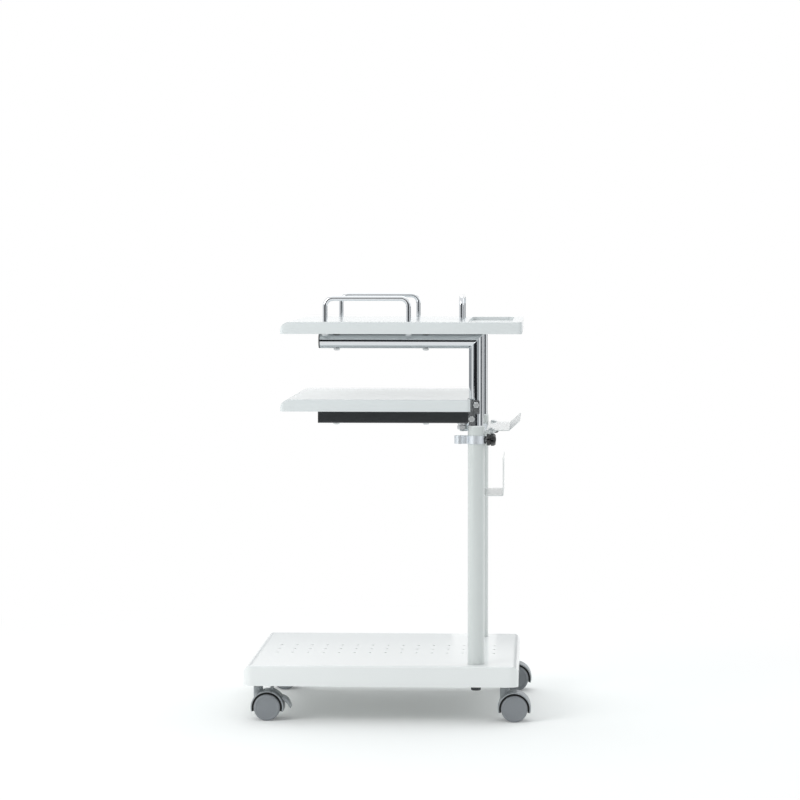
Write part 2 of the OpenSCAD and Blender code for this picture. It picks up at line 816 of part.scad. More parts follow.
// Bent rod guard in the X-Z plane: two legs on the deck, drilled from below, and a top bar
module guard() {
    top = guard_h - guard_r;
    difference() {
        union() {
            for (x = [0, guard_l]) translate([x, 0, -leg_depth]) cylinder(d = rod_d, h = leg_depth + top);
            translate([guard_r, 0, guard_h]) rotate([0, 90, 0])
                cylinder(d = rod_d, h = guard_l - 2 * guard_r);
            translate([guard_r, 0, top]) rotate([90, 0, 180])
                rotate_extrude(angle = 90) translate([guard_r, 0]) circle(d = rod_d);
            translate([guard_l - guard_r, 0, top]) rotate([90, 0, 0])
                rotate_extrude(angle = 90) translate([guard_r, 0]) circle(d = rod_d);
        }
        for (x = [0, guard_l]) translate([x, 0, -leg_depth - eps])
            cylinder(r = small_d / 2 + run_fit, h = leg_depth + eps);
    }
}

module guard_left() {
    color(chrome) translate([deck_x0 + guard_front, -(base_w / 2 - guard_inset), deck_z]) guard();
}

module guard_right() {
    color(chrome) translate([deck_x0 + guard_front, base_w / 2 - guard_inset, deck_z]) guard();
}

module guard_rear() {
    color(chrome) translate([post_x - guard_rear_ahead, -guard_l / 2, deck_z]) rotate([0, 0, 90]) guard();
}

// Screws from below that hold the guards' legs
module guard_screws() {
    color(zinc) at_guard_legs() translate([0, 0, -board_t]) pan_screw(board_t - 2);
}

// Lower board, notched round the columns and their brackets
module mid_shelf() {
    color(white_board) difference() {
        slab(shelf_x0, shelf_x1, base_w, shelf_under, shelf_z,
            board_corner_r, board_front_r, board_edge_r, board_edge_r);
        both_sides() translate([notch_x0, -post_y - notch_half, shelf_under - eps])
            cube([2 * column_r, 2 * notch_half, board_t + 2 * eps]);
        at_board_screws(rail_x0, shelf_under - eps)
            cylinder(r = small_d / 2 + run_fit, h = screw_bite + 2 * eps);
    }
}

// Left rail: a rectangular tube under the lower shelf
module mid_rail() {
    l = rail_x1 - rail_x0 - cap_t;
    color(black_steel) difference() {
        translate([rail_x0 + cap_t, -post_y, rail_z0 + rail_h / 2]) rotate([90, 0, 90])
            linear_extrude(l) difference() {
                rounded_plan(rail_w, rail_h, rail_edge_r);
                square([rail_w - 2 * rail_wall, rail_h - 2 * rail_wall], center = true);
            }
        for (x = [rail_x0 + screw_in, post_x - screw_rear]) translate([x, -post_y, rail_z0 - eps])
            cylinder(r = small_d / 2 + hole_fit, h = rail_h + 2 * eps);
        translate([rail_bolt_x, -post_y, rail_z0 - eps])
            cylinder(r = stem_d / 2 + hole_fit, h = rail_wall + 2 * eps);
    }
}

module mid_rail_left() {
    mid_rail();
}

module mid_rail_right() {
    mirror([0, 1, 0]) mid_rail();
}

// Screws from below through the rails into the lower shelf
module mid_shelf_screws() {
    color(zinc) at_board_screws(rail_x0, rail_z0) pan_screw(rail_h + screw_bite);
}

// Side outline of a bracket's cheek: a tang inside the rail, a foot on the post and a lobe on the column
module cheek_outline() {
    foot_z = post_top + bushing_flange_t + clear;
    tang_z = rail_z0 + rail_wall;
    tang_top = shelf_under - rail_wall - clear;
    foot_x0 = rail_x1 + notch_gap / 2;
    tang_x0 = rail_x1 - tang_l;
    tang_x1 = post_x - lobe_ahead / 2;
    edge_r = 3;
    translate([tang_x0, tang_z]) square([tang_x1 - tang_x0, tang_top - tang_z]);
    translate([foot_x0, foot_z]) square([post_x - foot_x0 - 2, tang_top - foot_z]);
    translate([post_x - lobe_ahead, shelf_z - lobe_down - lobe_h])
        arched_profile(0, lobe_l, 0, lobe_h, edge_r, edge_r);
}

// Left bracket: two cheeks either side of the column, joined by a floor inside the rail
module mid_bracket() {
    mid_y = (cheek_in + cheek_out) / 2;
    color(zinc) translate([0, -post_y, 0]) difference() {
        union() {
            for (y = [-1, 1]) translate([0, y * mid_y, 0]) across(bracket_t) cheek_outline();
            translate([rail_x1 - tang_l, -mid_y, rail_z0 + rail_wall]) cube([tang_l, 2 * mid_y, bracket_t]);
        }
        translate([post_x, 0, rail_z0 + upper_bolt_up]) rotate([90, 0, 0])
            cylinder(r = small_d / 2 + hole_fit, h = 4 * column_r, center = true);
        translate([post_x - lower_bolt_ahead, 0, rail_z0 + lower_bolt_up]) rotate([90, 0, 0])
            cylinder(r = small_d / 2 + hole_fit, h = 4 * column_r, center = true);
        translate([rail_bolt_x, 0, rail_z0]) cylinder(r = stem_d / 2 + hole_fit, h = 3 * bracket_t);
    }
}

module mid_bracket_left() {
    mid_bracket();
}

module mid_bracket_right() {
    mirror([0, 1, 0]) mid_bracket();
}

// Cross bolts with nuts that hold the brackets on the columns
module bracket_bolts() {
    places = [[0, upper_bolt_up], [-lower_bolt_ahead, lower_bolt_up]];
    color(zinc) both_sides() for (p = places)
        translate([post_x + p[0], -post_y, rail_z0 + p[1]]) rotate([-90, 0, 0]) {
            translate([0, 0, -cheek_out - small_head_h]) hex(small_flats, small_head_h);
            translate([0, 0, -cheek_out - eps])
                cylinder(d = small_d, h = 2 * cheek_out + eps + small_nut_h + small_proud);
            translate([0, 0, cheek_out]) nut(small_flats, small_nut_h, small_d);
        }
}

// Hex bolts, their heads inside the rails, with washers and nuts under the rails
module rail_bolts() {
    floor_up = rail_wall + bracket_t;
    nut_down = m8_washer_h + m8_spring_h + m8_nut_h;
    end_down = nut_down + bolt_proud;
    color(zinc) both_sides() translate([rail_bolt_x, -post_y, rail_z0]) {
        translate([0, 0, floor_up]) hex(m8_flats, m8_head_h);
        translate([0, 0, -end_down]) cylinder(d = stem_d, h = end_down + floor_up + 1);
        translate([0, 0, -nut_down]) nut(m8_flats, m8_nut_h, stem_d);
        for (ring = [[m8_washer_r, m8_washer_h, 0], [m8_washer_r - 1, m8_spring_h, m8_washer_h]])
            translate([0, 0, -ring[2] - ring[1]]) difference() {
                cylinder(r = ring[0], h = ring[1]);
                translate([0, 0, -eps]) cylinder(r = stem_d / 2 + run_fit, h = ring[1] + 2 * eps);
            }
    }
}

// Half section of a knob about its axis, from its neck at 0
module knob_section() {
    r = knob_d / 2;
    inner_r = 1.5;
    square([knob_screw_d / 2 + neck_wall, knob_neck + 1]);
    translate([0, knob_neck]) difference() {
        square([r, knob_l]);
        translate([r - knob_round, knob_l - knob_round]) corner_waste(knob_round);
        translate([r - inner_r, inner_r]) mirror([0, 1]) corner_waste(inner_r);
    }
}

// Left knob
module knob() {
    color(black_plastic) translate([post_x + collar_r + clear, -post_y, collar_z]) rotate([0, 90, 0])
        difference() {
            rotate_extrude() knob_section();
            translate([0, 0, -eps]) cylinder(d = knob_screw_d, h = knob_neck + knob_l - knob_floor + eps);
        }
}

module knob_left() {
    knob();
}

module knob_right() {
    mirror([0, 1, 0]) knob();
}

// Left knob's screw: it passes the collar and the post's wall and ends against the column
module knob_screw() {
    tip = column_r + clear;
    l = collar_r + clear + knob_neck + knob_l - knob_floor - tip;
    color(zinc) translate([post_x + tip, -post_y, collar_z]) rotate([0, 90, 0])
        cylinder(d = knob_screw_d, h = l);
}

module knob_screw_left() {
    knob_screw();
}

module knob_screw_right() {
    mirror([0, 1, 0]) knob_screw();
}

// Places a caster piece, drawn about its axle, under the stem at x on the side (-1 left, 1 right)
module at_caster(x, side) {
    translate([x + trail, side * stem_y, axle_z]) children();
}

// Half section of the hood about the axle, crowned towards its middle
module hood_section() {
    steps = 8;
    polygon([
        [0, -hood_half_w],
        for (i = [0 : steps])
            let (y = hood_half_w * (2 * i / steps - 1), f = y / hood_half_w)
            [hood_lip_r + hood_crown * (1 - f * f), y],
        [0, hood_half_w]
    ]);
}

// Pivot of the brake lever in the X-Z plane about the axle
pivot = [6, hood_out_r + 2];
hub_r = 2.4;
ear_r = 2.8;
ear_y = 8.4;
ear_t = 2.2;
pivot_r = 1.2;
strap_gap = clear + 0.1;
strap_w = 2 * ear_y - 1;
web_hub_r = axle_d / 2 + 5;

// Hood of a caster: a fender over both wheels, the web between them and the stem's socket
module hood(braked) {
    color(grey_plastic) difference() {
        union() {
            rotate([90, 0, 0]) rotate([0, 0, -hood_wrap]) rotate_extrude(angle = 180 + 2 * hood_wrap)
                hood_section();
            rotate([90, 0, 0]) cylinder(r = web_hub_r, h = web_t, center = true);
            translate([-trail, 0, socket_floor - socket_t])
                cylinder(r = boss_r, h = boss_top - socket_floor + socket_t);
            if (braked) both_sides() translate([0, -ear_y - ear_t / 2, 0]) across(ear_t) {
                translate(pivot) circle(ear_r);
                translate([pivot[0] - ear_r, hood_in_r]) square([2 * ear_r, pivot[1] - hood_in_r]);
            }
        }
        both_sides() translate([0, -web_t / 2, 0]) rotate([90, 0, 0])
            cylinder(r = hood_in_r, h = 2 * wheel_w);
        rotate([90, 0, 0]) cylinder(r = axle_d / 2 + bed_fit, h = 2 * web_t, center = true);
        translate([-trail, 0, socket_floor]) cylinder(r = stem_d / 2 + run_fit, h = boss_top);
        if (braked) translate([pivot[0], 0, pivot[1]]) rotate([90, 0, 0])
            cylinder(r = pivot_r + run_fit, h = 2 * wheel_y1, center = true);
    }
}

// Axle of a caster, drawn about itself
module axle() {
    color(zinc) rotate([90, 0, 0]) cylinder(d = axle_d, h = 2 * axle_end, center = true);
}

// Wheel on the -Y side of a caster: a closed outer face, a rounded tread edge and a hollow inner side
module wheel() {
    round_r = 2.5;
    hub_out = axle_d / 2 + 3.5;
    rim_in = wheel_r - 4.5;
    hollow = 4;
    dish_r = wheel_r - 4;
    dish = 0.4;
    color(grey_plastic) rotate([90, 0, 0]) difference() {
        rotate_extrude() difference() {
            translate([0, wheel_y0]) square([wheel_r, wheel_w]);
            translate([wheel_r - round_r, wheel_y1 - round_r]) corner_waste(round_r);
            translate([hub_out, wheel_y0 - eps]) square([rim_in - hub_out, hollow + eps]);
            translate([0, wheel_y1 - dish]) square([dish_r, dish + eps]);
        }
        translate([0, 0, wheel_y0 - eps])
            cylinder(r = axle_d / 2 + run_fit, h = axle_end - wheel_y0 + clear + eps);
    }
}

// Brake lever of a front caster: a hub on the hood's ears, a strap over the hood and a pedal
module brake_lever() {
    strap_r = hood_out_r + strap_gap + lever_t / 2;
    pedal_r = hood_out_r + strap_gap + pedal_t / 2;
    bend_a = 34;
    strap = [for (a = [74 : -8 : bend_a]) strap_r * [cos(a), sin(a)]];
    root = pedal_r * [cos(bend_a), sin(bend_a)];
    tip = [hood_out_r + pedal_reach - pedal_t / 2, pedal_t / 2 - 2];
    color(grey_plastic) {
        across(strap_w) translate(pivot) circle(hub_r);
        across(strap_w) bent_strip(concat([pivot], strap), 1.5, lever_t, 3);
        across(pedal_w) bent_strip([root, tip], 1.5, pedal_t, 3);
        across(pedal_w) for (p = [root, tip]) translate(p) circle(d = pedal_t);
        translate([pivot[0], 0, pivot[1]]) rotate([90, 0, 0])
            cylinder(r = pivot_r, h = 2 * (ear_y + ear_t), center = true);
    }
}

module hood_front_left() {
    at_caster(front_stem_x, -1) hood(true);
}

module hood_front_right() {
    at_caster(front_stem_x, 1) hood(true);
}

module hood_rear_left() {
    at_caster(rear_stem_x, -1) hood(false);
}

module hood_rear_right() {
    at_caster(rear_stem_x, 1) hood(false);
}

module axle_front_left() {
    at_caster(front_stem_x, -1) axle();
}

module axle_front_right() {
    at_caster(front_stem_x, 1) axle();
}

module axle_rear_left() {
    at_caster(rear_stem_x, -1) axle();
}

module axle_rear_right() {
    at_caster(rear_stem_x, 1) axle();
}

module wheel_front_left_outer() {
    at_caster(front_stem_x, -1) wheel();
}

module wheel_front_left_inner() {
    at_caster(front_stem_x, -1) mirror([0, 1, 0]) wheel();
}

module wheel_front_right_outer() {
    at_caster(front_stem_x, 1) mirror([0, 1, 0]) wheel();
}

module wheel_front_right_inner() {
    at_caster(front_stem_x, 1) wheel();
}

module wheel_rear_left_outer() {
    at_caster(rear_stem_x, -1) wheel();
}

module wheel_rear_left_inner() {
    at_caster(rear_stem_x, -1) mirror([0, 1, 0]) wheel();
}

module wheel_rear_right_outer() {
    at_caster(rear_stem_x, 1) mirror([0, 1, 0]) wheel();
}

module wheel_rear_right_inner() {
    at_caster(rear_stem_x, 1) wheel();
}

module brake_lever_left() {
    at_caster(front_stem_x, -1) brake_lever();
}

module brake_lever_right() {
    at_caster(front_stem_x, 1) brake_lever();
}

base_tray();
front_caster_beam();
rear_caster_beam();
post_beam();
post_left();
post_right();
post_bolts();
post_bushings();
collar_left();
collar_right();
back_plate();
hook_tray();
cord_hook();
hook_screws();
caster_stems();
caster_nuts();
column_left();
column_right();
arm_left();
arm_right();
end_caps();
column_glides();
top_shelf();
arm_screws();
arm_saddles();
guard_left();
guard_right();
guard_rear();
guard_screws();
mid_shelf();
mid_rail_left();
mid_rail_right();
mid_shelf_screws();
mid_bracket_left();
mid_bracket_right();
bracket_bolts();
rail_bolts();
knob_left();
knob_screw_left();
knob_right();
knob_screw_right();
hood_front_left();
axle_front_left();
wheel_front_left_outer();
wheel_front_left_inner();
hood_front_right();
axle_front_right();
wheel_front_right_outer();
wheel_front_right_inner();
hood_rear_left();
axle_rear_left();
wheel_rear_left_outer();
wheel_rear_left_inner();
hood_rear_right();
axle_rear_right();
wheel_rear_right_outer();
wheel_rear_right_inner();
brake_lever_left();
brake_lever_right();
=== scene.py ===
"""Looks of a projector cart: coated steel base, chrome columns, foil-wrapped boards, twin-wheel casters."""

import json
import math

import bmesh
import bpy
from mathutils import Matrix, Vector


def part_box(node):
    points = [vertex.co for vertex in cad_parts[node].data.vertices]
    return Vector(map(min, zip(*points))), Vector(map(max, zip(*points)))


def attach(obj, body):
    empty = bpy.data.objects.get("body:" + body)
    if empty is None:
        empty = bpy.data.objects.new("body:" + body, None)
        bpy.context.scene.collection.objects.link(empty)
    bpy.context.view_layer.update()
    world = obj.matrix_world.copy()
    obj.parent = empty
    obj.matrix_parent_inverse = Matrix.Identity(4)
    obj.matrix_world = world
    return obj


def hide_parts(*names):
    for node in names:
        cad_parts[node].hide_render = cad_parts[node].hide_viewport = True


MM = 0.001

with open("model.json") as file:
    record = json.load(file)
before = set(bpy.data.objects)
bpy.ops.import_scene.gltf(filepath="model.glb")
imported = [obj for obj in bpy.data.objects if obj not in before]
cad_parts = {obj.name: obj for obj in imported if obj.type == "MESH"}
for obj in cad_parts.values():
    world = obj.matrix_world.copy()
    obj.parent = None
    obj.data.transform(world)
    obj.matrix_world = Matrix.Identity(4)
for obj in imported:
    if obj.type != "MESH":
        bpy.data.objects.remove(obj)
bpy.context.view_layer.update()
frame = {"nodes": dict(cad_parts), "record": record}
nodes = frame["nodes"]


# Camera
SENSOR_MM = 36.0
LENS_MM = 135.6
CAMERA_AT = (0.2267, -4.6863, 0.7013)
CAMERA_LOOK = (-0.0460, 1.0, -0.04807)


def place_camera():
    """A long lens from the cart's left, aimed a little forward of and below its own height."""
    camera = bpy.data.objects.new("camera", bpy.data.cameras.new("camera"))
    bpy.context.scene.collection.objects.link(camera)
    camera.data.sensor_width = SENSOR_MM
    camera.data.lens = LENS_MM
    camera.data.clip_start = 0.1
    camera.data.clip_end = 60.0
    camera.location = CAMERA_AT
    camera.rotation_mode = "QUATERNION"
    camera.rotation_quaternion = Vector(CAMERA_LOOK).to_track_quat("-Z", "Y")
    bpy.context.scene.camera = camera


place_camera()


# Material helpers
def linear(hex_colour):
    """sRGB hex to a linear RGBA colour."""
    channels = [int(hex_colour[i : i + 2], 16) / 255 for i in (1, 3, 5)]
    return tuple(c / 12.92 if c <= 0.04045 else ((c + 0.055) / 1.055) ** 2.4 for c in channels) + (1.0,)


def per_mm(size):
    """Noise scale, in cells per metre, for a pattern whose cells are size millimetres wide."""
    return 1.0 / (size * MM)


def add_node(tree, kind, settings=None, links=None):
    """Adds one node. Settings go to its properties or inputs; links join other outputs to its inputs."""
    node = tree.nodes.new(kind)
    for name, value in (settings or {}).items():
        if isinstance(name, str) and hasattr(node, name):
            setattr(node, name, value)
        else:
            node.inputs[name].default_value = value
    for name, socket in (links or {}).items():
        tree.links.new(socket, node.inputs[name])
    return node


def new_material(name):
    """An empty material with its output, and the object coordinates, which are the cart's own metres."""
    material = bpy.data.materials.new(name)
    material.use_nodes = True
    tree = material.node_tree
    tree.nodes.clear()
    output = add_node(tree, "ShaderNodeOutputMaterial")
    place = add_node(tree, "ShaderNodeTexCoord")
    return material, tree, output, place.outputs["Object"]


# Finishes
def powder_coated_steel(name, colour, roughness):
    """Polyester powder baked on steel: a faint orange peel and a soft, even gloss."""
    material, tree, output, place = new_material(name)
    # Real orange peel is about 2 mm across; drawn at 5 mm so that it shows.
    peel = add_node(tree, "ShaderNodeTexNoise", {"Scale": per_mm(5), "Detail": 3.0}, {"Vector": place})
    # The coat's gloss drifts over a hand's width.
    glossier, duller = 0.05, 0.06
    drift = add_node(tree, "ShaderNodeTexNoise", {"Scale": per_mm(70), "Detail": 2.0}, {"Vector": place})
    gloss = add_node(
        tree,
        "ShaderNodeMapRange",
        {"To Min": roughness - glossier, "To Max": roughness + duller},
        {"Value": drift.outputs["Fac"]},
    )
    bump = add_node(
        tree, "ShaderNodeBump", {"Strength": 0.25, "Distance": 0.02 * MM}, {"Height": peel.outputs["Fac"]}
    )
    shader = add_node(
        tree,
        "ShaderNodeBsdfPrincipled",
        {"Base Color": linear(colour), "IOR": 1.5, "Coat Weight": 0.6, "Coat Roughness": 0.08},
        {"Roughness": gloss.outputs["Result"], "Normal": bump.outputs["Normal"]},
    )
    tree.links.new(shader.outputs["BSDF"], output.inputs["Surface"])
    return material


def foil_wrapped_fibreboard():
    """Fibreboard wrapped in white vinyl foil: satin, with a fine embossed grain along the board."""
    material, tree, output, place = new_material("foil_wrapped_fibreboard")
    stretch = add_node(tree, "ShaderNodeMapping", {"Scale": (0.25, 1.0, 1.0)}, {"Vector": place})
    # Real emboss is 0.3 mm wide; drawn at 1.6 mm so that it shows.
    emboss = add_node(
        tree,
        "ShaderNodeTexNoise",
        {"Scale": per_mm(1.6), "Detail": 2.0},
        {"Vector": stretch.outputs["Vector"]},
    )
    # The foil's tone and gloss drift a little from one hand's width to the next.
    drift = add_node(tree, "ShaderNodeTexNoise", {"Scale": per_mm(90), "Detail": 2.0}, {"Vector": place})
    gloss = add_node(
        tree, "ShaderNodeMapRange", {"To Min": 0.13, "To Max": 0.19}, {"Value": drift.outputs["Fac"]}
    )
    # A colour mix takes its factor at socket 0 and its two colours at 6 and 7, and gives the result at 2.
    colour = add_node(
        tree,
        "ShaderNodeMix",
        {"data_type": "RGBA", 6: linear("#D8DDDD"), 7: linear("#DDE1E1")},
        {0: drift.outputs["Fac"]},
    )
    bump = add_node(
        tree, "ShaderNodeBump", {"Strength": 0.35, "Distance": 0.02 * MM}, {"Height": emboss.outputs["Fac"]}
    )
    shader = add_node(
        tree,
        "ShaderNodeBsdfPrincipled",
        {"IOR": 1.46},
        {
            "Base Color": colour.outputs[2],
            "Roughness": gloss.outputs["Result"],
            "Normal": bump.outputs["Normal"],
        },
    )
    tree.links.new(shader.outputs["BSDF"], output.inputs["Surface"])
    return material


def plated_metal(name, colour, roughness, spread, cell_mm, bump_mm):
    """Plated steel or cast alloy: a bare metal whose polish varies a little from place to place."""
    material, tree, output, place = new_material(name)
    polish = add_node(
        tree, "ShaderNodeTexNoise", {"Scale": per_mm(cell_mm), "Detail": 3.0}, {"Vector": place}
    )
    gloss = add_node(
        tree,
        "ShaderNodeMapRange",
        {"To Min": roughness - spread, "To Max": roughness + spread},
        {"Value": polish.outputs["Fac"]},
    )
    bump = add_node(
        tree, "ShaderNodeBump", {"Strength": 0.4, "Distance": bump_mm * MM}, {"Height": polish.outputs["Fac"]}
    )
    shader = add_node(
        tree,
        "ShaderNodeBsdfPrincipled",
        {"Base Color": linear(colour), "Metallic": 1.0},
        {"Roughness": gloss.outputs["Result"], "Normal": bump.outputs["Normal"]},
    )
    tree.links.new(shader.outputs["BSDF"], output.inputs["Surface"])
    return material


def moulded_plastic(name, colour, roughness, cell_mm, bump_mm, ior):
    """Injection-moulded plastic: the fine spark texture of its mould over a plain colour."""
    material, tree, output, place = new_material(name)
    spread = 0.05
    spark = add_node(tree, "ShaderNodeTexNoise", {"Scale": per_mm(cell_mm), "Detail": 4.0}, {"Vector": place})
    gloss = add_node(
        tree,
        "ShaderNodeMapRange",
        {"To Min": roughness - spread, "To Max": roughness + spread},
        {"Value": spark.outputs["Fac"]},
    )
    bump = add_node(
        tree, "ShaderNodeBump", {"Strength": 0.5, "Distance": bump_mm * MM}, {"Height": spark.outputs["Fac"]}
    )
    shader = add_node(
        tree,
        "ShaderNodeBsdfPrincipled",
        {"Base Color": linear(colour), "IOR": ior},
        {"Roughness": gloss.outputs["Result"], "Normal": bump.outputs["Normal"]},
    )
    tree.links.new(shader.outputs["BSDF"], output.inputs["Surface"])
    return material


finishes = {
    # White powder coat: satin, slightly cool.
    "white_steel": powder_coated_steel("white_powder_coated_steel", "#E9ECEB", 0.36),
    # Black powder coat on the shelf's rails: satin, the gloss shows along their edges.
    "black_steel": powder_coated_steel("black_powder_coated_steel", "#2C2F31", 0.34),
    # Vinyl foil over fibreboard: an even white with a soft sheen.
    "white_board": foil_wrapped_fibreboard(),
    # Bright chrome mirrors its surroundings with hardly any blur.
    "chrome_steel": plated_metal("polished_chrome_plate", "#D9DCDF", 0.06, 0.02, 30, 0.004),
    # Satin chrome on a zinc casting: soft, slightly blue.
    "silver": plated_metal("satin_plated_zinc_casting", "#E4EAEF", 0.42, 0.03, 12, 0.002),
    # Blue-white zinc on steel fasteners: dull metal with a little mottle.
    "zinc_steel": plated_metal("zinc_plated_steel", "#E0E3E4", 0.40, 0.06, 4, 0.015),
    # Black oxide on steel bolts: dark, slightly oily metal.
    "dark_steel": plated_metal("black_oxide_steel", "#4A4C4E", 0.34, 0.06, 4, 0.02),
    # White acetal bushings: a dense, waxy white.
    "white_plastic": moulded_plastic("moulded_white_acetal", "#E4E7E7", 0.40, 1.5, 0.01, 1.48),
    # Black polyethylene plugs and glides: dull black.
    "dark_plastic": moulded_plastic("moulded_black_polyethylene", "#2A2B2C", 0.45, 1.5, 0.02, 1.51),
    # Polished black ABS knobs: deep black with sharp highlights.
    "black_gloss": moulded_plastic("polished_black_abs", "#0E0F10", 0.09, 6, 0.002, 1.62),
    # Grey nylon hoods and levers: matt, a little paler than the wheels.
    "grey_plastic": moulded_plastic("moulded_grey_nylon", "#9BA0A3", 0.48, 1.2, 0.02, 1.53),
    # Grey nylon wheels: matt with a faint sheen.
    "grey_tread": moulded_plastic("moulded_grey_nylon_wheel", "#868A8E", 0.42, 1.2, 0.015, 1.53),
}


def dress(piece, slot):
    """Gives a piece the finish of a material slot."""
    piece.data.materials.clear()
    piece.data.materials.append(finishes[slot])


for part in frame["record"]["subparts"]:
    dress(nodes[part["node"]], part["material_slot"])

# Powder coat on the drawn tubes: a shade greyer than on the tray.
tube_coat = powder_coated_steel("pale_grey_powder_coated_tube", "#CFD4D2", 0.34)
# Bright zinc on the pressed brackets: duller than the chrome round them.
pressed_zinc = plated_metal("bright_zinc_plated_pressing", "#C3C6C8", 0.24, 0.05, 6, 0.01)
# Painted shade: a near-black finish for the rings inside the hoods, which stand for the shadowed gap between
# wheel and hood and take nearly all the light.
painted_shade_finish = moulded_plastic("painted_shade_black", "#060606", 0.80, 1.5, 0.01, 1.50)
for node in ("post_left", "post_right"):
    nodes[node].data.materials[0] = tube_coat
for node in ("mid_bracket_left", "mid_bracket_right"):
    nodes[node].data.materials[0] = pressed_zinc


# Mesh helpers: shapes are drawn in millimetres about the origin and seated on the cart in metres
SMOOTH_BELOW = math.radians(28)


def seat(place, up=(0, 0, 1), along=(1, 0, 0)):
    """Puts a shape drawn in millimetres at a place in metres, its Z and X axes in two given directions."""
    z = Vector(up)
    x = Vector(along)
    turn = Matrix((x, z.cross(x), z)).transposed().to_4x4()
    return Matrix.Translation(place) @ turn @ Matrix.Scale(MM, 4)


def ring_of(shape, place, steps, radius_at, height_at):
    """One ring of vertices about Z, its radius and height given for each angle."""
    angles = [2 * math.pi * k / steps for k in range(steps)]
    spots = [Vector((radius_at(a) * math.cos(a), radius_at(a) * math.sin(a), height_at(a))) for a in angles]
    return [shape.verts.new(place @ spot) for spot in spots]


def join_rings(shape, rings):
    """Joins rings into faces; a ring of one vertex is a pole."""
    for low, high in zip(rings, rings[1:]):
        count = max(len(low), len(high))
        for i in range(count):
            k = (i + 1) % count
            corners = []
            for vert in (low[i % len(low)], low[k % len(low)], high[k % len(high)], high[i % len(high)]):
                if vert not in corners:
                    corners.append(vert)
            shape.faces.new(corners)


def turned(shape, place, outline, steps=48, looped=False):
    """Turns an outline of (radius, height) points about Z; a radius of 0 closes it with a pole."""
    rings = []
    for radius, height in outline:
        if radius == 0:
            rings.append([shape.verts.new(place @ Vector((0, 0, height)))])
        else:
            rings.append(ring_of(shape, place, steps, lambda a, r=radius: r, lambda a, h=height: h))
    if looped:
        rings.append(rings[0])
    join_rings(shape, rings)


def swept(shape, place, section, path, looped=False):
    """Sweeps a closed section along a path of matrices."""
    rings = [[shape.verts.new(place @ step @ Vector((x, y, 0))) for x, y in section] for step in path]
    if looped:
        rings.append(rings[0])
    join_rings(shape, rings)
    if not looped:
        shape.faces.new(rings[0])
        shape.faces.new(rings[-1])


def arc(middle, radius, start, end, steps=6):
    """Points of an arc in the drawing plane, from one angle to the other in degrees."""
    angles = [math.radians(start + (end - start) * k / steps) for k in range(steps + 1)]
    return [(middle[0] + radius * math.cos(a), middle[1] + radius * math.sin(a)) for a in angles]


def part_of(node):
    """The record's row of a CAD node."""
    return next(part for part in frame["record"]["subparts"] if part["node"] == node)


def body_with(node):
    """The body that a CAD node belongs to."""
    return next(body for body, names in frame["record"]["behaviour"]["bodies"].items() if node in names)


def add_piece(name, shape, node, slot):
    """Makes a piece of a shape, smooth where it bends gently, on the body of a CAD node."""
    bmesh.ops.recalc_face_normals(shape, faces=shape.faces)
    for face in shape.faces:
        face.smooth = True
    for edge in shape.edges:
        edge.smooth = len(edge.link_faces) == 2 and edge.calc_face_angle() < SMOOTH_BELOW
    mesh = bpy.data.meshes.new(name)
    shape.to_mesh(mesh)
    shape.free()
    piece = bpy.data.objects.new(name, mesh)
    bpy.context.scene.collection.objects.link(piece)
    dress(piece, slot)
    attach(piece, body_with(node))
    return piece


def stand_in(node, word, shape):
    """A piece that is shown in place of a CAD node, with that node's body and finish."""
    piece = add_piece(node + "_" + word, shape, node, part_of(node)["material_slot"])
    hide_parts(node)


# Fasteners, with the CAD's sizes in millimetres
M8 = {"flats": 13.0, "radius": 4.0, "pitch": 1.25, "head": 5.3, "nut": 6.5}
M5 = {"flats": 8.0, "radius": 2.5, "pitch": 0.8, "head": 3.5, "nut": 4.0}
WASHER_R = 7.5
WASHER_H = 1.6
SPRING_R = 6.5
SPRING_H = 2.0
PAN_R = 4.8
PAN_H = 3.2
PROUD = 1.0
HEX_STEPS = 72
CORNER = 2 / math.sqrt(3)
BORE_FIT = 0.05
# The flat round face of a hex head, and the depth of a thread, as shares of the flats and of the pitch.
FACE_SHARE = 0.47
THREAD_SHARE = 0.54


def hex_block(shape, place, size, height, bored=False, both_ends=False):
    """A bolt head or a nut on Z = 0, its corners turned off at 30 degrees."""
    flats = size["flats"]
    flat_r = FACE_SHARE * flats
    slope = math.tan(math.radians(30))
    bore = size["radius"] + BORE_FIT
    lead = 0.6

    def corner(a):
        return flats / 2 / math.cos(a % (math.pi / 3) - math.pi / 6)

    def drop(a):
        return (corner(a) - flat_r) * slope

    def ring(radius_at, height_at):
        return ring_of(shape, place, HEX_STEPS, radius_at, height_at)

    rings = [ring(lambda a: flat_r, lambda a: 0.0)]
    rings.append(ring(corner, drop if both_ends else lambda a: 0.0))
    rings.append(ring(corner, lambda a: height - drop(a)))
    rings.append(ring(lambda a: flat_r, lambda a: height))
    if bored:
        rings.append(ring(lambda a: bore + lead, lambda a: height))
        rings.append(ring(lambda a: bore, lambda a: height - lead))
        rings.append(ring(lambda a: bore, lambda a: lead))
        rings.append(ring(lambda a: bore + lead, lambda a: 0.0))
        rings.append(rings[0])
    else:
        rings.insert(0, [shape.verts.new(place.translation)])
        rings.append([shape.verts.new(place @ Vector((0, 0, height)))])
    join_rings(shape, rings)


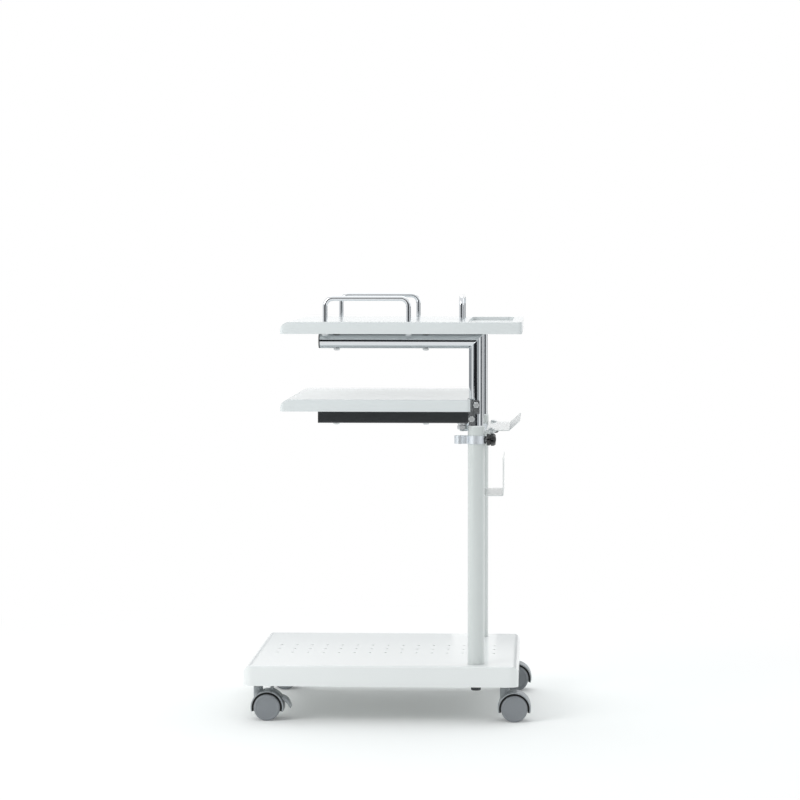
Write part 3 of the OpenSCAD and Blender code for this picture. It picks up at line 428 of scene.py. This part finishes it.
def shank(shape, place, size, plain_to, end):
    """A bolt's rod: plain from Z = 0, then threaded, its end pointed."""
    radius, pitch = size["radius"], size["pitch"]
    steps, rows_per_pitch = 24, 6
    depth = THREAD_SHARE * pitch
    sunk = 0.4
    if plain_to > 0:
        turned(shape, place, [(0, -sunk), (radius, -sunk), (radius, plain_to), (0, plain_to)], steps)
    rows = max(2, round((end - plain_to) / pitch * rows_per_pitch))
    rings = [[shape.verts.new(place @ Vector((0, 0, plain_to)))]]
    for row in range(rows + 1):
        height = plain_to + (end - plain_to) * row / rows
        point = radius - pitch / 2 + (end - height)

        def crest(a, height=height, point=point):
            turn = (height / pitch - a / (2 * math.pi)) % 1.0
            return min(radius - depth * (1 - abs(2 * turn - 1)), point)

        rings.append(ring_of(shape, place, steps, crest, lambda a, h=height: h))
    rings.append([shape.verts.new(place @ Vector((0, 0, end)))])
    join_rings(shape, rings)


def washer(shape, place, radius, bore, height):
    """A stamped washer on Z = 0, its outer edges a little rounded."""
    soft = 0.3
    outline = [(bore, 0), (radius - soft, 0), (radius, soft)]
    outline += [(radius, height - soft), (radius - soft, height), (bore, height)]
    turned(shape, place, outline, 64, looped=True)


def on_circle(radius, angle, height):
    """Where a section stands on a circle: its X points outwards and its Y along the axis."""
    stand = Matrix.Translation((radius, 0, height)) @ Matrix.Rotation(math.pi / 2, 4, "X")
    return Matrix.Rotation(angle, 4, "Z") @ stand


def spring_washer(shape, place, radius, bore, height):
    """A split washer on Z = 0: one open coil of square wire, its ends a little apart."""
    half = (radius - bore) / 2
    thick = height * 0.8
    steps, split = 60, 12
    section = [(-half, -thick / 2), (half, -thick / 2), (half, thick / 2), (-half, thick / 2)]
    path = [
        on_circle(
            radius - half,
            math.radians(split / 2 + (360 - split) * k / steps),
            thick / 2 + (height - thick) * k / steps,
        )
        for k in range(steps + 1)
    ]
    swept(shape, place, section, path)


def cut_away(blank, cutter):
    """The mesh of the first shape less the second."""
    solids = []
    for source in (blank, cutter):
        bmesh.ops.recalc_face_normals(source, faces=source.faces)
        mesh = bpy.data.meshes.new("cut_solid")
        source.to_mesh(mesh)
        source.free()
        solid = bpy.data.objects.new("cut_solid", mesh)
        bpy.context.scene.collection.objects.link(solid)
        solids.append(solid)
    cut = solids[0].modifiers.new("cut", "BOOLEAN")
    cut.operation = "DIFFERENCE"
    cut.solver = "EXACT"
    cut.use_self = True
    cut.object = solids[1]
    result = bpy.data.meshes.new_from_object(solids[0].evaluated_get(bpy.context.evaluated_depsgraph_get()))
    for solid in solids:
        bpy.data.meshes.remove(solid.data)
    return result


def recessed_pan_head():
    """A pan head standing on Z = 0, a tapered cross cut into its crown."""
    blank = bmesh.new()
    rim, soft = 0.45 * PAN_H, 0.3
    angles = [math.radians(9 * k) for k in range(10)]
    crown = [(PAN_R * math.cos(a), rim + (PAN_H - rim) * math.sin(a)) for a in angles]
    turned(blank, Matrix.Identity(4), [(0, 0), (PAN_R - soft, 0), (PAN_R, soft)] + crown + [(0, PAN_H)], 40)
    cutter = bmesh.new()
    deep, long, wide = 0.62 * PAN_H, 0.52 * PAN_R, 0.17 * PAN_R
    above, mouth, tip = 0.4, 2.0, 0.9
    for turn in (0, 90):
        wedge = bmesh.ops.create_cube(cutter, size=1.0)["verts"]
        for vert in wedge:
            top = vert.co.z > 0
            taper = mouth if top else tip
            height = PAN_H + above if top else PAN_H - deep
            vert.co = Vector((vert.co.x * long * taper, vert.co.y * wide * taper, height))
        bmesh.ops.rotate(cutter, verts=wedge, matrix=Matrix.Rotation(math.radians(turn), 3, "Z"))
    return cut_away(blank, cutter)


pan_head = recessed_pan_head()


def pan_screw(shape, place, length):
    """A cross-recess screw: its head stands above Z = 0, its shank runs below, threaded for its last part."""
    threaded = 12.0
    start = len(shape.verts)
    shape.from_mesh(pan_head)
    shape.verts.ensure_lookup_table()
    for vert in shape.verts[start:]:
        vert.co = place @ vert.co
    shank(shape, place @ Matrix.Rotation(math.pi, 4, "X"), M5, max(0.0, length - threaded), length)


def corners_of(node, inset):
    """The four places in plan where a node's repeated pieces stand, inset from its box."""
    low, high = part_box(node)
    return [
        (x, y)
        for x in (low[0] + inset * MM, high[0] - inset * MM)
        for y in (low[1] + inset * MM, high[1] - inset * MM)
    ]


def board_screws(node):
    """Pan screws driven upwards through arms or rails into a board."""
    low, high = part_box(node)
    shape = bmesh.new()
    for x, y in corners_of(node, PAN_R):
        pan_screw(shape, seat((x, y, low[2] + PAN_H * MM), (0, 0, -1)), (high[2] - low[2]) / MM - PAN_H)
    stand_in(node, "recessed", shape)


def guard_feet_screws():
    """Pan screws driven upwards into the legs of the three guards."""
    low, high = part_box("guard_screws")
    shape = bmesh.new()
    for guard in ("guard_left", "guard_right", "guard_rear"):
        g_low, g_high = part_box(guard)
        rod_r = min(g_high[0] - g_low[0], g_high[1] - g_low[1]) / 2
        for x, y in ((g_low[0] + rod_r, g_low[1] + rod_r), (g_high[0] - rod_r, g_high[1] - rod_r)):
            pan_screw(shape, seat((x, y, low[2] + PAN_H * MM), (0, 0, -1)), (high[2] - low[2]) / MM - PAN_H)
    stand_in("guard_screws", "recessed", shape)


def hook_fasteners():
    """Screws and nuts of the hook tray, driven down, and of the cord hook, driven forwards."""
    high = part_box("hook_screws")[1]
    plate_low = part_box("back_plate")[0]
    hook_low, hook_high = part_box("cord_hook")
    tray_screw_x = high[0] - PAN_R * MM
    tray_screw_y = high[1] - PAN_R * MM
    tray_top = high[2] - PAN_H * MM
    hook_t, lug_t, plate_t, tab_h, cord_screw_in = 1.2, 1.5, 2.0, 22.0, 20.0
    cord_screw_y = hook_high[1] - cord_screw_in * MM
    cord_screw_z = hook_low[2] + tab_h / 2 * MM
    cord_x = plate_low[0] + (plate_t + hook_t) * MM
    tray_screw_l = hook_t + lug_t + M5["nut"] + PROUD
    nut_z = tray_top - (hook_t + lug_t + M5["nut"]) * MM
    shape = bmesh.new()
    for side in (-1, 1):
        pan_screw(shape, seat((tray_screw_x, side * tray_screw_y, tray_top)), tray_screw_l)
        hex_block(shape, seat((tray_screw_x, side * tray_screw_y, nut_z)), M5, M5["nut"], True, True)
        screw = seat((cord_x, side * cord_screw_y, cord_screw_z), (1, 0, 0), (0, 0, 1))
        pan_screw(shape, screw, hook_t + plate_t + M5["nut"] + PROUD)
        nut = seat((plate_low[0] - M5["nut"] * MM, side * cord_screw_y, cord_screw_z), (1, 0, 0), (0, 0, 1))
        hex_block(shape, nut, M5, M5["nut"], True, True)
    stand_in("hook_screws", "recessed", shape)


def bracket_cross_bolts():
    """Hex bolts through brackets and columns, their heads outside and their nuts inside."""
    low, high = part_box("bracket_bolts")
    corner_r = M5["flats"] / 2 * CORNER
    upper = (high[0] - corner_r * MM, high[2] - M5["flats"] / 2 * MM)
    lower = (low[0] + corner_r * MM, low[2] + M5["flats"] / 2 * MM)
    head_y = high[1] - M5["head"] * MM
    column_low, column_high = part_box("column_right")
    cheeks = 2 * (head_y / MM - (column_low[1] + column_high[1]) / 2 / MM)
    thread_in = 2
    shape = bmesh.new()
    for side in (-1, 1):
        for x, z in (upper, lower):
            hex_block(shape, seat((x, side * head_y, z), (0, side, 0)), M5, M5["head"])
            nut_y = side * (head_y - cheeks * MM)
            hex_block(shape, seat((x, nut_y, z), (0, -side, 0)), M5, M5["nut"], True, True)
            end = cheeks + M5["nut"] + PROUD
            shank(shape, seat((x, side * head_y, z), (0, -side, 0)), M5, cheeks - thread_in, end)
    stand_in("bracket_bolts", "chamfered", shape)


def rail_bolts():
    """Hex bolts out of the rails' undersides, with washer, split washer and nut below."""
    low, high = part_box("rail_bolts")
    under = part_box("mid_rail_left")[0][2]
    x = (low[0] + high[0]) / 2
    y = high[1] - WASHER_R * MM
    bore = M8["radius"] + BORE_FIT
    plain_l = 4
    shape = bmesh.new()
    for side in (-1, 1):
        place = (x, side * y, under)
        head = (x, side * y, high[2] - M8["head"] * MM)
        hex_block(shape, seat(head), M8, M8["head"])
        shank(shape, seat(head, (0, 0, -1)), M8, plain_l, (head[2] - low[2]) / MM)
        down = seat(place, (0, 0, -1))
        washer(shape, down, WASHER_R, bore, WASHER_H)
        spring_washer(shape, down @ Matrix.Translation((0, 0, WASHER_H)), SPRING_R, bore, SPRING_H)
        hex_block(shape, down @ Matrix.Translation((0, 0, WASHER_H + SPRING_H)), M8, M8["nut"], True, True)
    stand_in("rail_bolts", "chamfered", shape)


def post_foot_bolts():
    """Hex bolts under the posts' beam, with a washer and a split washer."""
    low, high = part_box("post_bolts")
    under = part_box("post_beam")[0][2]
    y = high[1] - WASHER_R * MM
    shape = bmesh.new()
    for side in (-1, 1):
        down = seat(((low[0] + high[0]) / 2, side * y, under), (0, 0, -1))
        washer(shape, down, WASHER_R, M8["radius"], WASHER_H)
        spring_washer(shape, down @ Matrix.Translation((0, 0, WASHER_H)), SPRING_R, M8["radius"], SPRING_H)
        head = down @ Matrix.Translation((0, 0, WASHER_H + SPRING_H))
        hex_block(shape, head, M8, M8["head"])
        thread_l = (high[2] - under) / MM + WASHER_H + SPRING_H
        shank(shape, head @ Matrix.Rotation(math.pi, 4, "X"), M8, SPRING_H, thread_l)
    stand_in("post_bolts", "chamfered", shape)


def stems_and_nuts():
    """Caster stems, each a smooth pin, a hex collar and a thread, and the nuts above the beams."""
    low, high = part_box("caster_stems")
    nut_low, nut_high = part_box("caster_nuts")
    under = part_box("front_caster_beam")[0][2]
    x_inset = M8["flats"] / 2 * CORNER * MM
    y_inset = M8["flats"] / 2 * MM
    collar_h, overlap, soft, plain_l = 5.0, 1, 0.8, 0.5
    pin_h = (under - low[2]) / MM - collar_h + overlap
    pin = [(0, 0), (M8["radius"] - soft, 0), (M8["radius"], soft), (M8["radius"], pin_h), (0, pin_h)]
    stems, nuts = bmesh.new(), bmesh.new()
    for x in (low[0] + x_inset, high[0] - x_inset):
        for y in (low[1] + y_inset, high[1] - y_inset):
            turned(stems, seat((x, y, low[2])), pin)
            hex_block(stems, seat((x, y, under - collar_h * MM)), M8, collar_h, both_ends=True)
            shank(stems, seat((x, y, under)), M8, plain_l, (high[2] - under) / MM)
            hex_block(nuts, seat((x, y, nut_low[2])), M8, (nut_high[2] - nut_low[2]) / MM, True, True)
    stand_in("caster_stems", "threaded", stems)
    stand_in("caster_nuts", "chamfered", nuts)


board_screws("arm_screws")
board_screws("mid_shelf_screws")
guard_feet_screws()
hook_fasteners()
bracket_cross_bolts()
rail_bolts()
post_foot_bolts()
stems_and_nuts()


# Casters
CASTERS = [(end, side) for end in ("front", "rear") for side in ("left", "right")]


def axle_of(end, side):
    """Middle of a caster's axle."""
    low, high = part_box("axle_" + end + "_" + side)
    return (Vector(low) + Vector(high)) / 2


def rounded_wheel(node, outward):
    """A moulded wheel: a faintly domed closed face, a rounded tread, and ribs in its hollow inner side."""
    low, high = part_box(node)
    radius = (high[2] - low[2]) / 2 / MM
    width = (high[1] - low[1]) / MM
    bore_r, bore_l, hub_r, rim_r, hollow = 3.05, 12.5, 6.5, radius - 4.5, 4.0
    soft, dome, lip, lip_out, lip_in = 2.5, 0.25, 0.4, 0.9, 0.3
    lead, edge, tread_edge, fillet, rows = 0.3, 0.4, 0.8, 1, 6
    outline = [(0, bore_l), (bore_r, bore_l), (bore_r, lead), (bore_r + lead, 0)]
    outline += [(hub_r - edge, 0), (hub_r, edge)]
    outline += arc((hub_r + fillet, hollow - fillet), fillet, 180, 90, 3)
    outline += arc((rim_r - fillet, hollow - fillet), fillet, 90, 0, 3)
    outline += [(rim_r, edge), (rim_r + edge, 0), (radius - tread_edge, 0), (radius, tread_edge)]
    outline += arc((radius - soft, width - soft), soft, 0, 90, 8)
    outline += [(rim_r + lip_out, width), (rim_r + lip_in, width - lip)]
    outline += [
        (rim_r * (1 - k / rows), width - lip - dome * (1 - math.sin(math.pi / 2 * k / rows)))
        for k in range(1, rows)
    ]
    outline.append((0, width - lip))
    middle = (Vector(low) + Vector(high)) / 2
    inner_y = low[1] if outward > 0 else high[1]
    place = seat((middle.x, inner_y, middle.z), (0, outward, 0))
    shape = bmesh.new()
    turned(shape, place, outline, 72)
    ribs, rib_t, rib_low, bite = 8, 1.2, 0.5, 0.3
    rib_r0, rib_r1 = hub_r - bite, rim_r + bite
    section = [(rib_r0, -rib_t / 2), (rib_r1, -rib_t / 2), (rib_r1, rib_t / 2), (rib_r0, rib_t / 2)]
    for k in range(ribs):
        turn = Matrix.Rotation(2 * math.pi * k / ribs, 4, "Z")
        swept(shape, place @ turn, section, [Matrix.Translation((0, 0, z)) for z in (rib_low, hollow + bite)])
    stand_in(node, "ribbed", shape)


def painted_hood_shade(end, side):
    """Painted shade: a near-black ring in each of a hood's open sides, standing for the shadowed gap between
    wheel and hood, cut square below the axle like the hood.
    """
    inner_r, outer_r, near, far, wrap, steps = 20.4, 22.95, 17.4, 18.6, 15, 60
    shape = bmesh.new()
    for flank in (-1, 1):
        z0, z1 = sorted((flank * near, flank * far))
        half_r, half_z = (outer_r - inner_r) / 2, (z1 - z0) / 2
        section = [(-half_r, -half_z), (half_r, -half_z), (half_r, half_z), (-half_r, half_z)]
        path = [
            on_circle(
                (inner_r + outer_r) / 2,
                math.radians(-wrap + (180 + 2 * wrap) * k / steps),
                (z0 + z1) / 2,
            )
            for k in range(steps + 1)
        ]
        swept(shape, seat(axle_of(end, side), (0, -1, 0)), section, path)
    # The ring is painted shade: a black piece put where the gap between wheel and hood is only in shadow.
    shade_piece = add_piece("painted_hood_shade_" + end + "_" + side, shape, "hood_" + end + "_" + side, "dark_plastic")
    shade_piece.data.materials[0] = painted_shade_finish


def plate(shape, place, outline, width, soft=0.6):
    """A flat moulding: an outline in the X-Y plane given a width along Z, its rims a little rounded."""
    middle = Vector((sum(x for x, y in outline), sum(y for x, y in outline))) / len(outline)
    reach = max((Vector(point) - middle).length for point in outline)
    path = []
    for z, inset in ((-width / 2, soft), (-width / 2 + soft, 0), (width / 2 - soft, 0), (width / 2, soft)):
        about = Matrix.Translation((middle.x, middle.y, z))
        shrink = Matrix.Scale(1 - inset / reach, 4)
        path.append(about @ shrink @ Matrix.Translation((-middle.x, -middle.y, 0)))
    swept(shape, place, outline, path)


def brake_lever(side):
    """A brake lever: hub and pin on the hood's ears, a strap that hugs the hood, and a claw-shaped pedal."""
    strap_r0, strap_r1, strap_w, strap_top, strap_foot = 25.4, 27.4, 15.8, 76, 30
    pivot, hub_r, pin_r, pin_l = (6.0, 27.0), 2.4, 1.2, 21.2
    pedal_w, ridge_r, ridge_l, ridge_tip, small, edge = 26.0, 0.4, 22.0, 0.4, 0.4, 0.3
    place = seat(axle_of("front", side), (0, -1, 0))
    shape = bmesh.new()
    for radius, length in ((hub_r, strap_w), (pin_r, pin_l)):
        half = length / 2
        rod = [(0, -half), (radius - edge, -half), (radius, edge - half)]
        rod += [(radius, half - edge), (radius - edge, half), (0, half)]
        turned(shape, place @ Matrix.Translation((*pivot, 0)), rod, 32)
    strap = arc((0, 0), strap_r1, strap_top, strap_foot, 10)
    strap += arc((0, 0), strap_r0, strap_foot, strap_top, 10)
    plate(shape, place, strap, strap_w)
    # The pedal's back is one long curve and its underside a shorter one, which meet at a blunt tip.
    back = [(22.2, 16.1), (25.2, 15.0), (28.2, 13.2), (30.8, 10.6), (32.9, 7.2), (34.5, 3.4), (35.5, 0.2)]
    blunt = [(35.6, -1.2), (34.8, -1.7), (33.9, -0.8)]
    under = [(32.4, 1.9), (30.4, 4.6), (28.0, 7.1), (25.6, 9.4), (22.8, 12.0), (21.6, 13.6)]
    plate(shape, place, back + blunt + under, pedal_w, 1.0)
    section = arc((0, 0), ridge_r, 0, 360, 12)[:-1]
    for x, y in back[2:6]:
        along = [(small, -ridge_l / 2), (1.0, ridge_tip - ridge_l / 2)]
        along += [(1.0, ridge_l / 2 - ridge_tip), (small, ridge_l / 2)]
        path = [Matrix.Translation((x, y, z)) @ Matrix.Scale(size, 4) for size, z in along]
        swept(shape, place, section, path)
    stand_in("brake_lever_" + side, "curved", shape)


for end, side in CASTERS:
    outwards = -1 if side == "left" else 1
    rounded_wheel("wheel_" + end + "_" + side + "_outer", outwards)
    rounded_wheel("wheel_" + end + "_" + side + "_inner", -outwards)
    painted_hood_shade(end, side)
brake_lever("left")
brake_lever("right")


# Clamp knobs
def lobed_knob(side):
    """A moulded knob: a plain collar, a waist, and a six-lobed head with a domed end."""
    node = "knob_" + side
    low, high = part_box(node)
    length = (high[0] - low[0]) / MM
    radius = (high[2] - low[2]) / 2 / MM
    neck_l, neck_r, bore_r, bore_l = 1.0, 5.2, 3.0, 12.0
    waist_at, waist_r, collar_r = 6.4, radius - 1.7, radius - 0.5
    lobes, lobe_dip, steps = 6, 0.9, 96
    shoulder, edge_r, dome_r = 1, 1.2, 5
    # Each point is a radius, a height, and the share of the lobes' dip at that height.
    outline = [(0, bore_l, 0), (bore_r, bore_l, 0), (bore_r, 0, 0), (neck_r, 0, 0), (neck_r, neck_l, 0)]
    outline += [(r, h, 0) for r, h in arc((collar_r - shoulder, neck_l + shoulder), shoulder, 270, 360, 4)]
    outline += [(r, h, 0) for r, h in arc((collar_r - shoulder, waist_at - 1.5), shoulder, 0, 60, 3)]
    outline += [(waist_r, waist_at - 0.3, 0), (waist_r, waist_at + 0.3, 0.4)]
    outline += [(r, h, 1) for r, h in arc((radius - edge_r, waist_at + 1.7), edge_r, 300, 360, 4)]
    outline += [(r, h, 1) for r, h in arc((radius - dome_r, length - dome_r), dome_r, 0, 60, 8)]
    outline += [(radius - dome_r, length - 0.45, 0.5), (radius - 7, length - 0.1, 0.2), (0, length, 0)]
    place = seat((low[0], (low[1] + high[1]) / 2, (low[2] + high[2]) / 2), (1, 0, 0), (0, 0, 1))
    shape = bmesh.new()
    rings = []
    for r, h, share in outline:
        if r == 0:
            rings.append([shape.verts.new(place @ Vector((0, 0, h)))])
            continue

        def edge(a, r=r, share=share):
            return r - lobe_dip * share * (1 - math.cos(lobes * a)) / 2

        rings.append(ring_of(shape, place, steps, edge, lambda a, h=h: h))
    join_rings(shape, rings)
    stand_in(node, "lobed", shape)


lobed_knob("left")
lobed_knob("right")


# Welds
def mitre_weld(side):
    """The polished weld round the mitre where a column turns into its arm."""
    low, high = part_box("column_" + side)
    radius = (high[1] - low[1]) / 2 / MM
    place = seat(((low[0] + high[0]) / 2, (low[1] + high[1]) / 2, high[2] - radius * MM))
    bead_r, sunk, steps = 0.45, 0.12, 64
    section = arc((0, 0), bead_r, 0, 360, 10)[:-1]
    path = []
    for k in range(steps):
        a = 2 * math.pi * k / steps
        r = radius - sunk
        spot = Vector((r * math.cos(a), r * math.sin(a), r * math.cos(a)))
        run = Vector((-math.sin(a), math.cos(a), -math.sin(a))).normalized()
        out = (spot - run * spot.dot(run)).normalized()
        turn = Matrix((out, run.cross(out), run)).transposed().to_4x4()
        path.append(Matrix.Translation(spot) @ turn)
    shape = bmesh.new()
    swept(shape, place, section, path, looped=True)
    add_piece("mitre_weld_" + side, shape, "column_" + side, "chrome_steel")


mitre_weld("left")
mitre_weld("right")


# Studio
def plain_panel(name, corners, faces):
    """A sheet of the studio round the cart."""
    mesh = bpy.data.meshes.new(name)
    mesh.from_pydata(corners, [], faces)
    panel = bpy.data.objects.new(name, mesh)
    bpy.context.scene.collection.objects.link(panel)
    return panel


def studio_floor():
    """A pale floor that runs out to white, and keeps the cart's shadow."""
    reach = 14
    corners = [(-reach, -reach, 0), (reach, -reach, 0), (reach, reach, 0), (-reach, reach, 0)]
    floor = plain_panel("studio_floor", corners, [(0, 1, 2, 3)])
    material, tree, output, place = new_material("pale_studio_floor")
    diffuse = add_node(tree, "ShaderNodeBsdfDiffuse", {"Color": linear("#F1F3F1")})
    backdrop = add_node(tree, "ShaderNodeEmission", {"Color": (1.0, 1.0, 1.0, 1.0), "Strength": 1.0})
    # The floor's own shading fades into the white sweep from 0.35 m to 1.3 m out.
    distance = add_node(tree, "ShaderNodeVectorMath", {"operation": "LENGTH"}, {0: place})
    fade = add_node(
        tree,
        "ShaderNodeMapRange",
        {"interpolation_type": "SMOOTHSTEP", "From Min": 0.35, "From Max": 1.3, "To Min": 0.12},
        {"Value": distance.outputs["Value"]},
    )
    both = add_node(
        tree,
        "ShaderNodeMixShader",
        None,
        {0: fade.outputs["Result"], 1: diffuse.outputs["BSDF"], 2: backdrop.outputs["Emission"]},
    )
    ray = add_node(tree, "ShaderNodeLightPath")
    seen = add_node(
        tree,
        "ShaderNodeMath",
        {"operation": "MAXIMUM"},
        {0: ray.outputs["Is Camera Ray"], 1: ray.outputs["Is Glossy Ray"]},
    )
    mix = add_node(
        tree,
        "ShaderNodeMixShader",
        None,
        {0: seen.outputs[0], 1: diffuse.outputs["BSDF"], 2: both.outputs["Shader"]},
    )
    tree.links.new(mix.outputs["Shader"], output.inputs["Surface"])
    floor.data.materials.append(material)


def studio_world():
    """Sky light, and a plain white background for the camera and for reflections."""
    world = bpy.data.worlds.new("studio_world")
    bpy.context.scene.world = world
    world.use_nodes = True
    tree = world.node_tree
    tree.nodes.clear()
    output = add_node(tree, "ShaderNodeOutputWorld")
    # The sky is brighter behind the cart than on the camera's side.
    sky = add_node(tree, "ShaderNodeTexCoord")
    bearing = add_node(tree, "ShaderNodeSeparateXYZ", None, {"Vector": sky.outputs["Generated"]})
    level = add_node(
        tree,
        "ShaderNodeMapRange",
        {"From Min": -1.0, "From Max": 1.0, "To Min": 0.48, "To Max": 1.32},
        {"Value": bearing.outputs["Y"]},
    )
    light = add_node(
        tree, "ShaderNodeBackground", {"Color": linear("#FAFCFF")}, {"Strength": level.outputs["Result"]}
    )
    white = add_node(tree, "ShaderNodeBackground", {"Color": (1, 1, 1, 1), "Strength": 1.0})
    ray = add_node(tree, "ShaderNodeLightPath")
    mirror = add_node(
        tree,
        "ShaderNodeMath",
        {"operation": "MAXIMUM"},
        {0: ray.outputs["Is Glossy Ray"], 1: ray.outputs["Is Transmission Ray"]},
    )
    seen = add_node(
        tree,
        "ShaderNodeMath",
        {"operation": "MAXIMUM"},
        {0: ray.outputs["Is Camera Ray"], 1: mirror.outputs[0]},
    )
    mix = add_node(
        tree,
        "ShaderNodeMixShader",
        None,
        {0: seen.outputs[0], 1: light.outputs["Background"], 2: white.outputs["Background"]},
    )
    tree.links.new(mix.outputs["Shader"], output.inputs["Surface"])


def soft_box(name, place, aim, size, watts):
    """A rectangular studio lamp, aimed at a point."""
    lamp = bpy.data.objects.new(name, bpy.data.lights.new(name, "AREA"))
    lamp.data.shape = "RECTANGLE"
    lamp.data.size, lamp.data.size_y = size
    lamp.data.energy = watts
    lamp.location = place
    lamp.rotation_mode = "QUATERNION"
    lamp.rotation_quaternion = (Vector(aim) - Vector(place)).to_track_quat("-Z", "Y")
    bpy.context.scene.collection.objects.link(lamp)


FLAG_RING = 3.3
FLAG_PANEL = 8


def studio_flag(name, start, end, low, high, tone):
    """An upright cloth flag on a ring round the cart, between two bearings in degrees from the camera's side.
    Only reflections see it, and it gives the chrome its bands."""
    steps = max(1, round(abs(end - start) / FLAG_PANEL))
    bearings = [math.radians(start + (end - start) * k / steps) for k in range(steps + 1)]
    foot = [(FLAG_RING * math.sin(b), -FLAG_RING * math.cos(b)) for b in bearings]
    corners = [(x, y, z) for z in (low, high) for x, y in foot]
    faces = [(k, k + 1, steps + 2 + k, steps + 1 + k) for k in range(steps)]
    flag = plain_panel(name, corners, faces)
    material, tree, output, _ = new_material(name + "_cloth")
    cloth = add_node(tree, "ShaderNodeEmission", {"Color": linear(tone), "Strength": 1.0})
    tree.links.new(cloth.outputs["Emission"], output.inputs["Surface"])
    flag.data.materials.append(material)
    flag.visible_camera = False
    flag.visible_diffuse = False
    flag.visible_shadow = False
    flag.visible_transmission = False


studio_floor()
studio_world()
# Each lamp has its place, its aim and its size in metres, and its power in watts.
soft_box("key_box", (-1.5, -1.5, 1.5), (0, 0, 0.3), (1.2, 1.2), 20)
soft_box("top_box", (0.1, 1.2, 2.4), (0, 0, 0.2), (2.4, 2.4), 15)
soft_box("rear_box", (2.4, 1.0, 1.4), (0, 0, 0.4), (1.2, 1.6), 5)
# Each flag has its two bearings, the heights of its foot and head in metres, and its tone.
studio_flag("camera_side_flag", -32, 17, 0.0, 1.7, "#232528")
studio_flag("front_near_flag", -47, -34, 0.1, 1.5, "#A9ADB0")
studio_flag("front_side_flag", -84, -68, 0.1, 1.5, "#B4B8BB")
studio_flag("front_far_flag", -180, -88, 0.2, 0.5, "#969A9D")
studio_flag("rear_near_flag", 19, 46, 0.1, 1.5, "#A4A8AB")
studio_flag("rear_side_flag", 66, 84, 0.1, 1.5, "#9B9FA2")
studio_flag("rear_dark_flag", 86, 108, 0.2, 0.6, "#34363A")
studio_flag("rear_far_flag", 140, 178, 0.2, 0.5, "#686C70")


bpy.context.scene.view_settings.view_transform = "Standard"
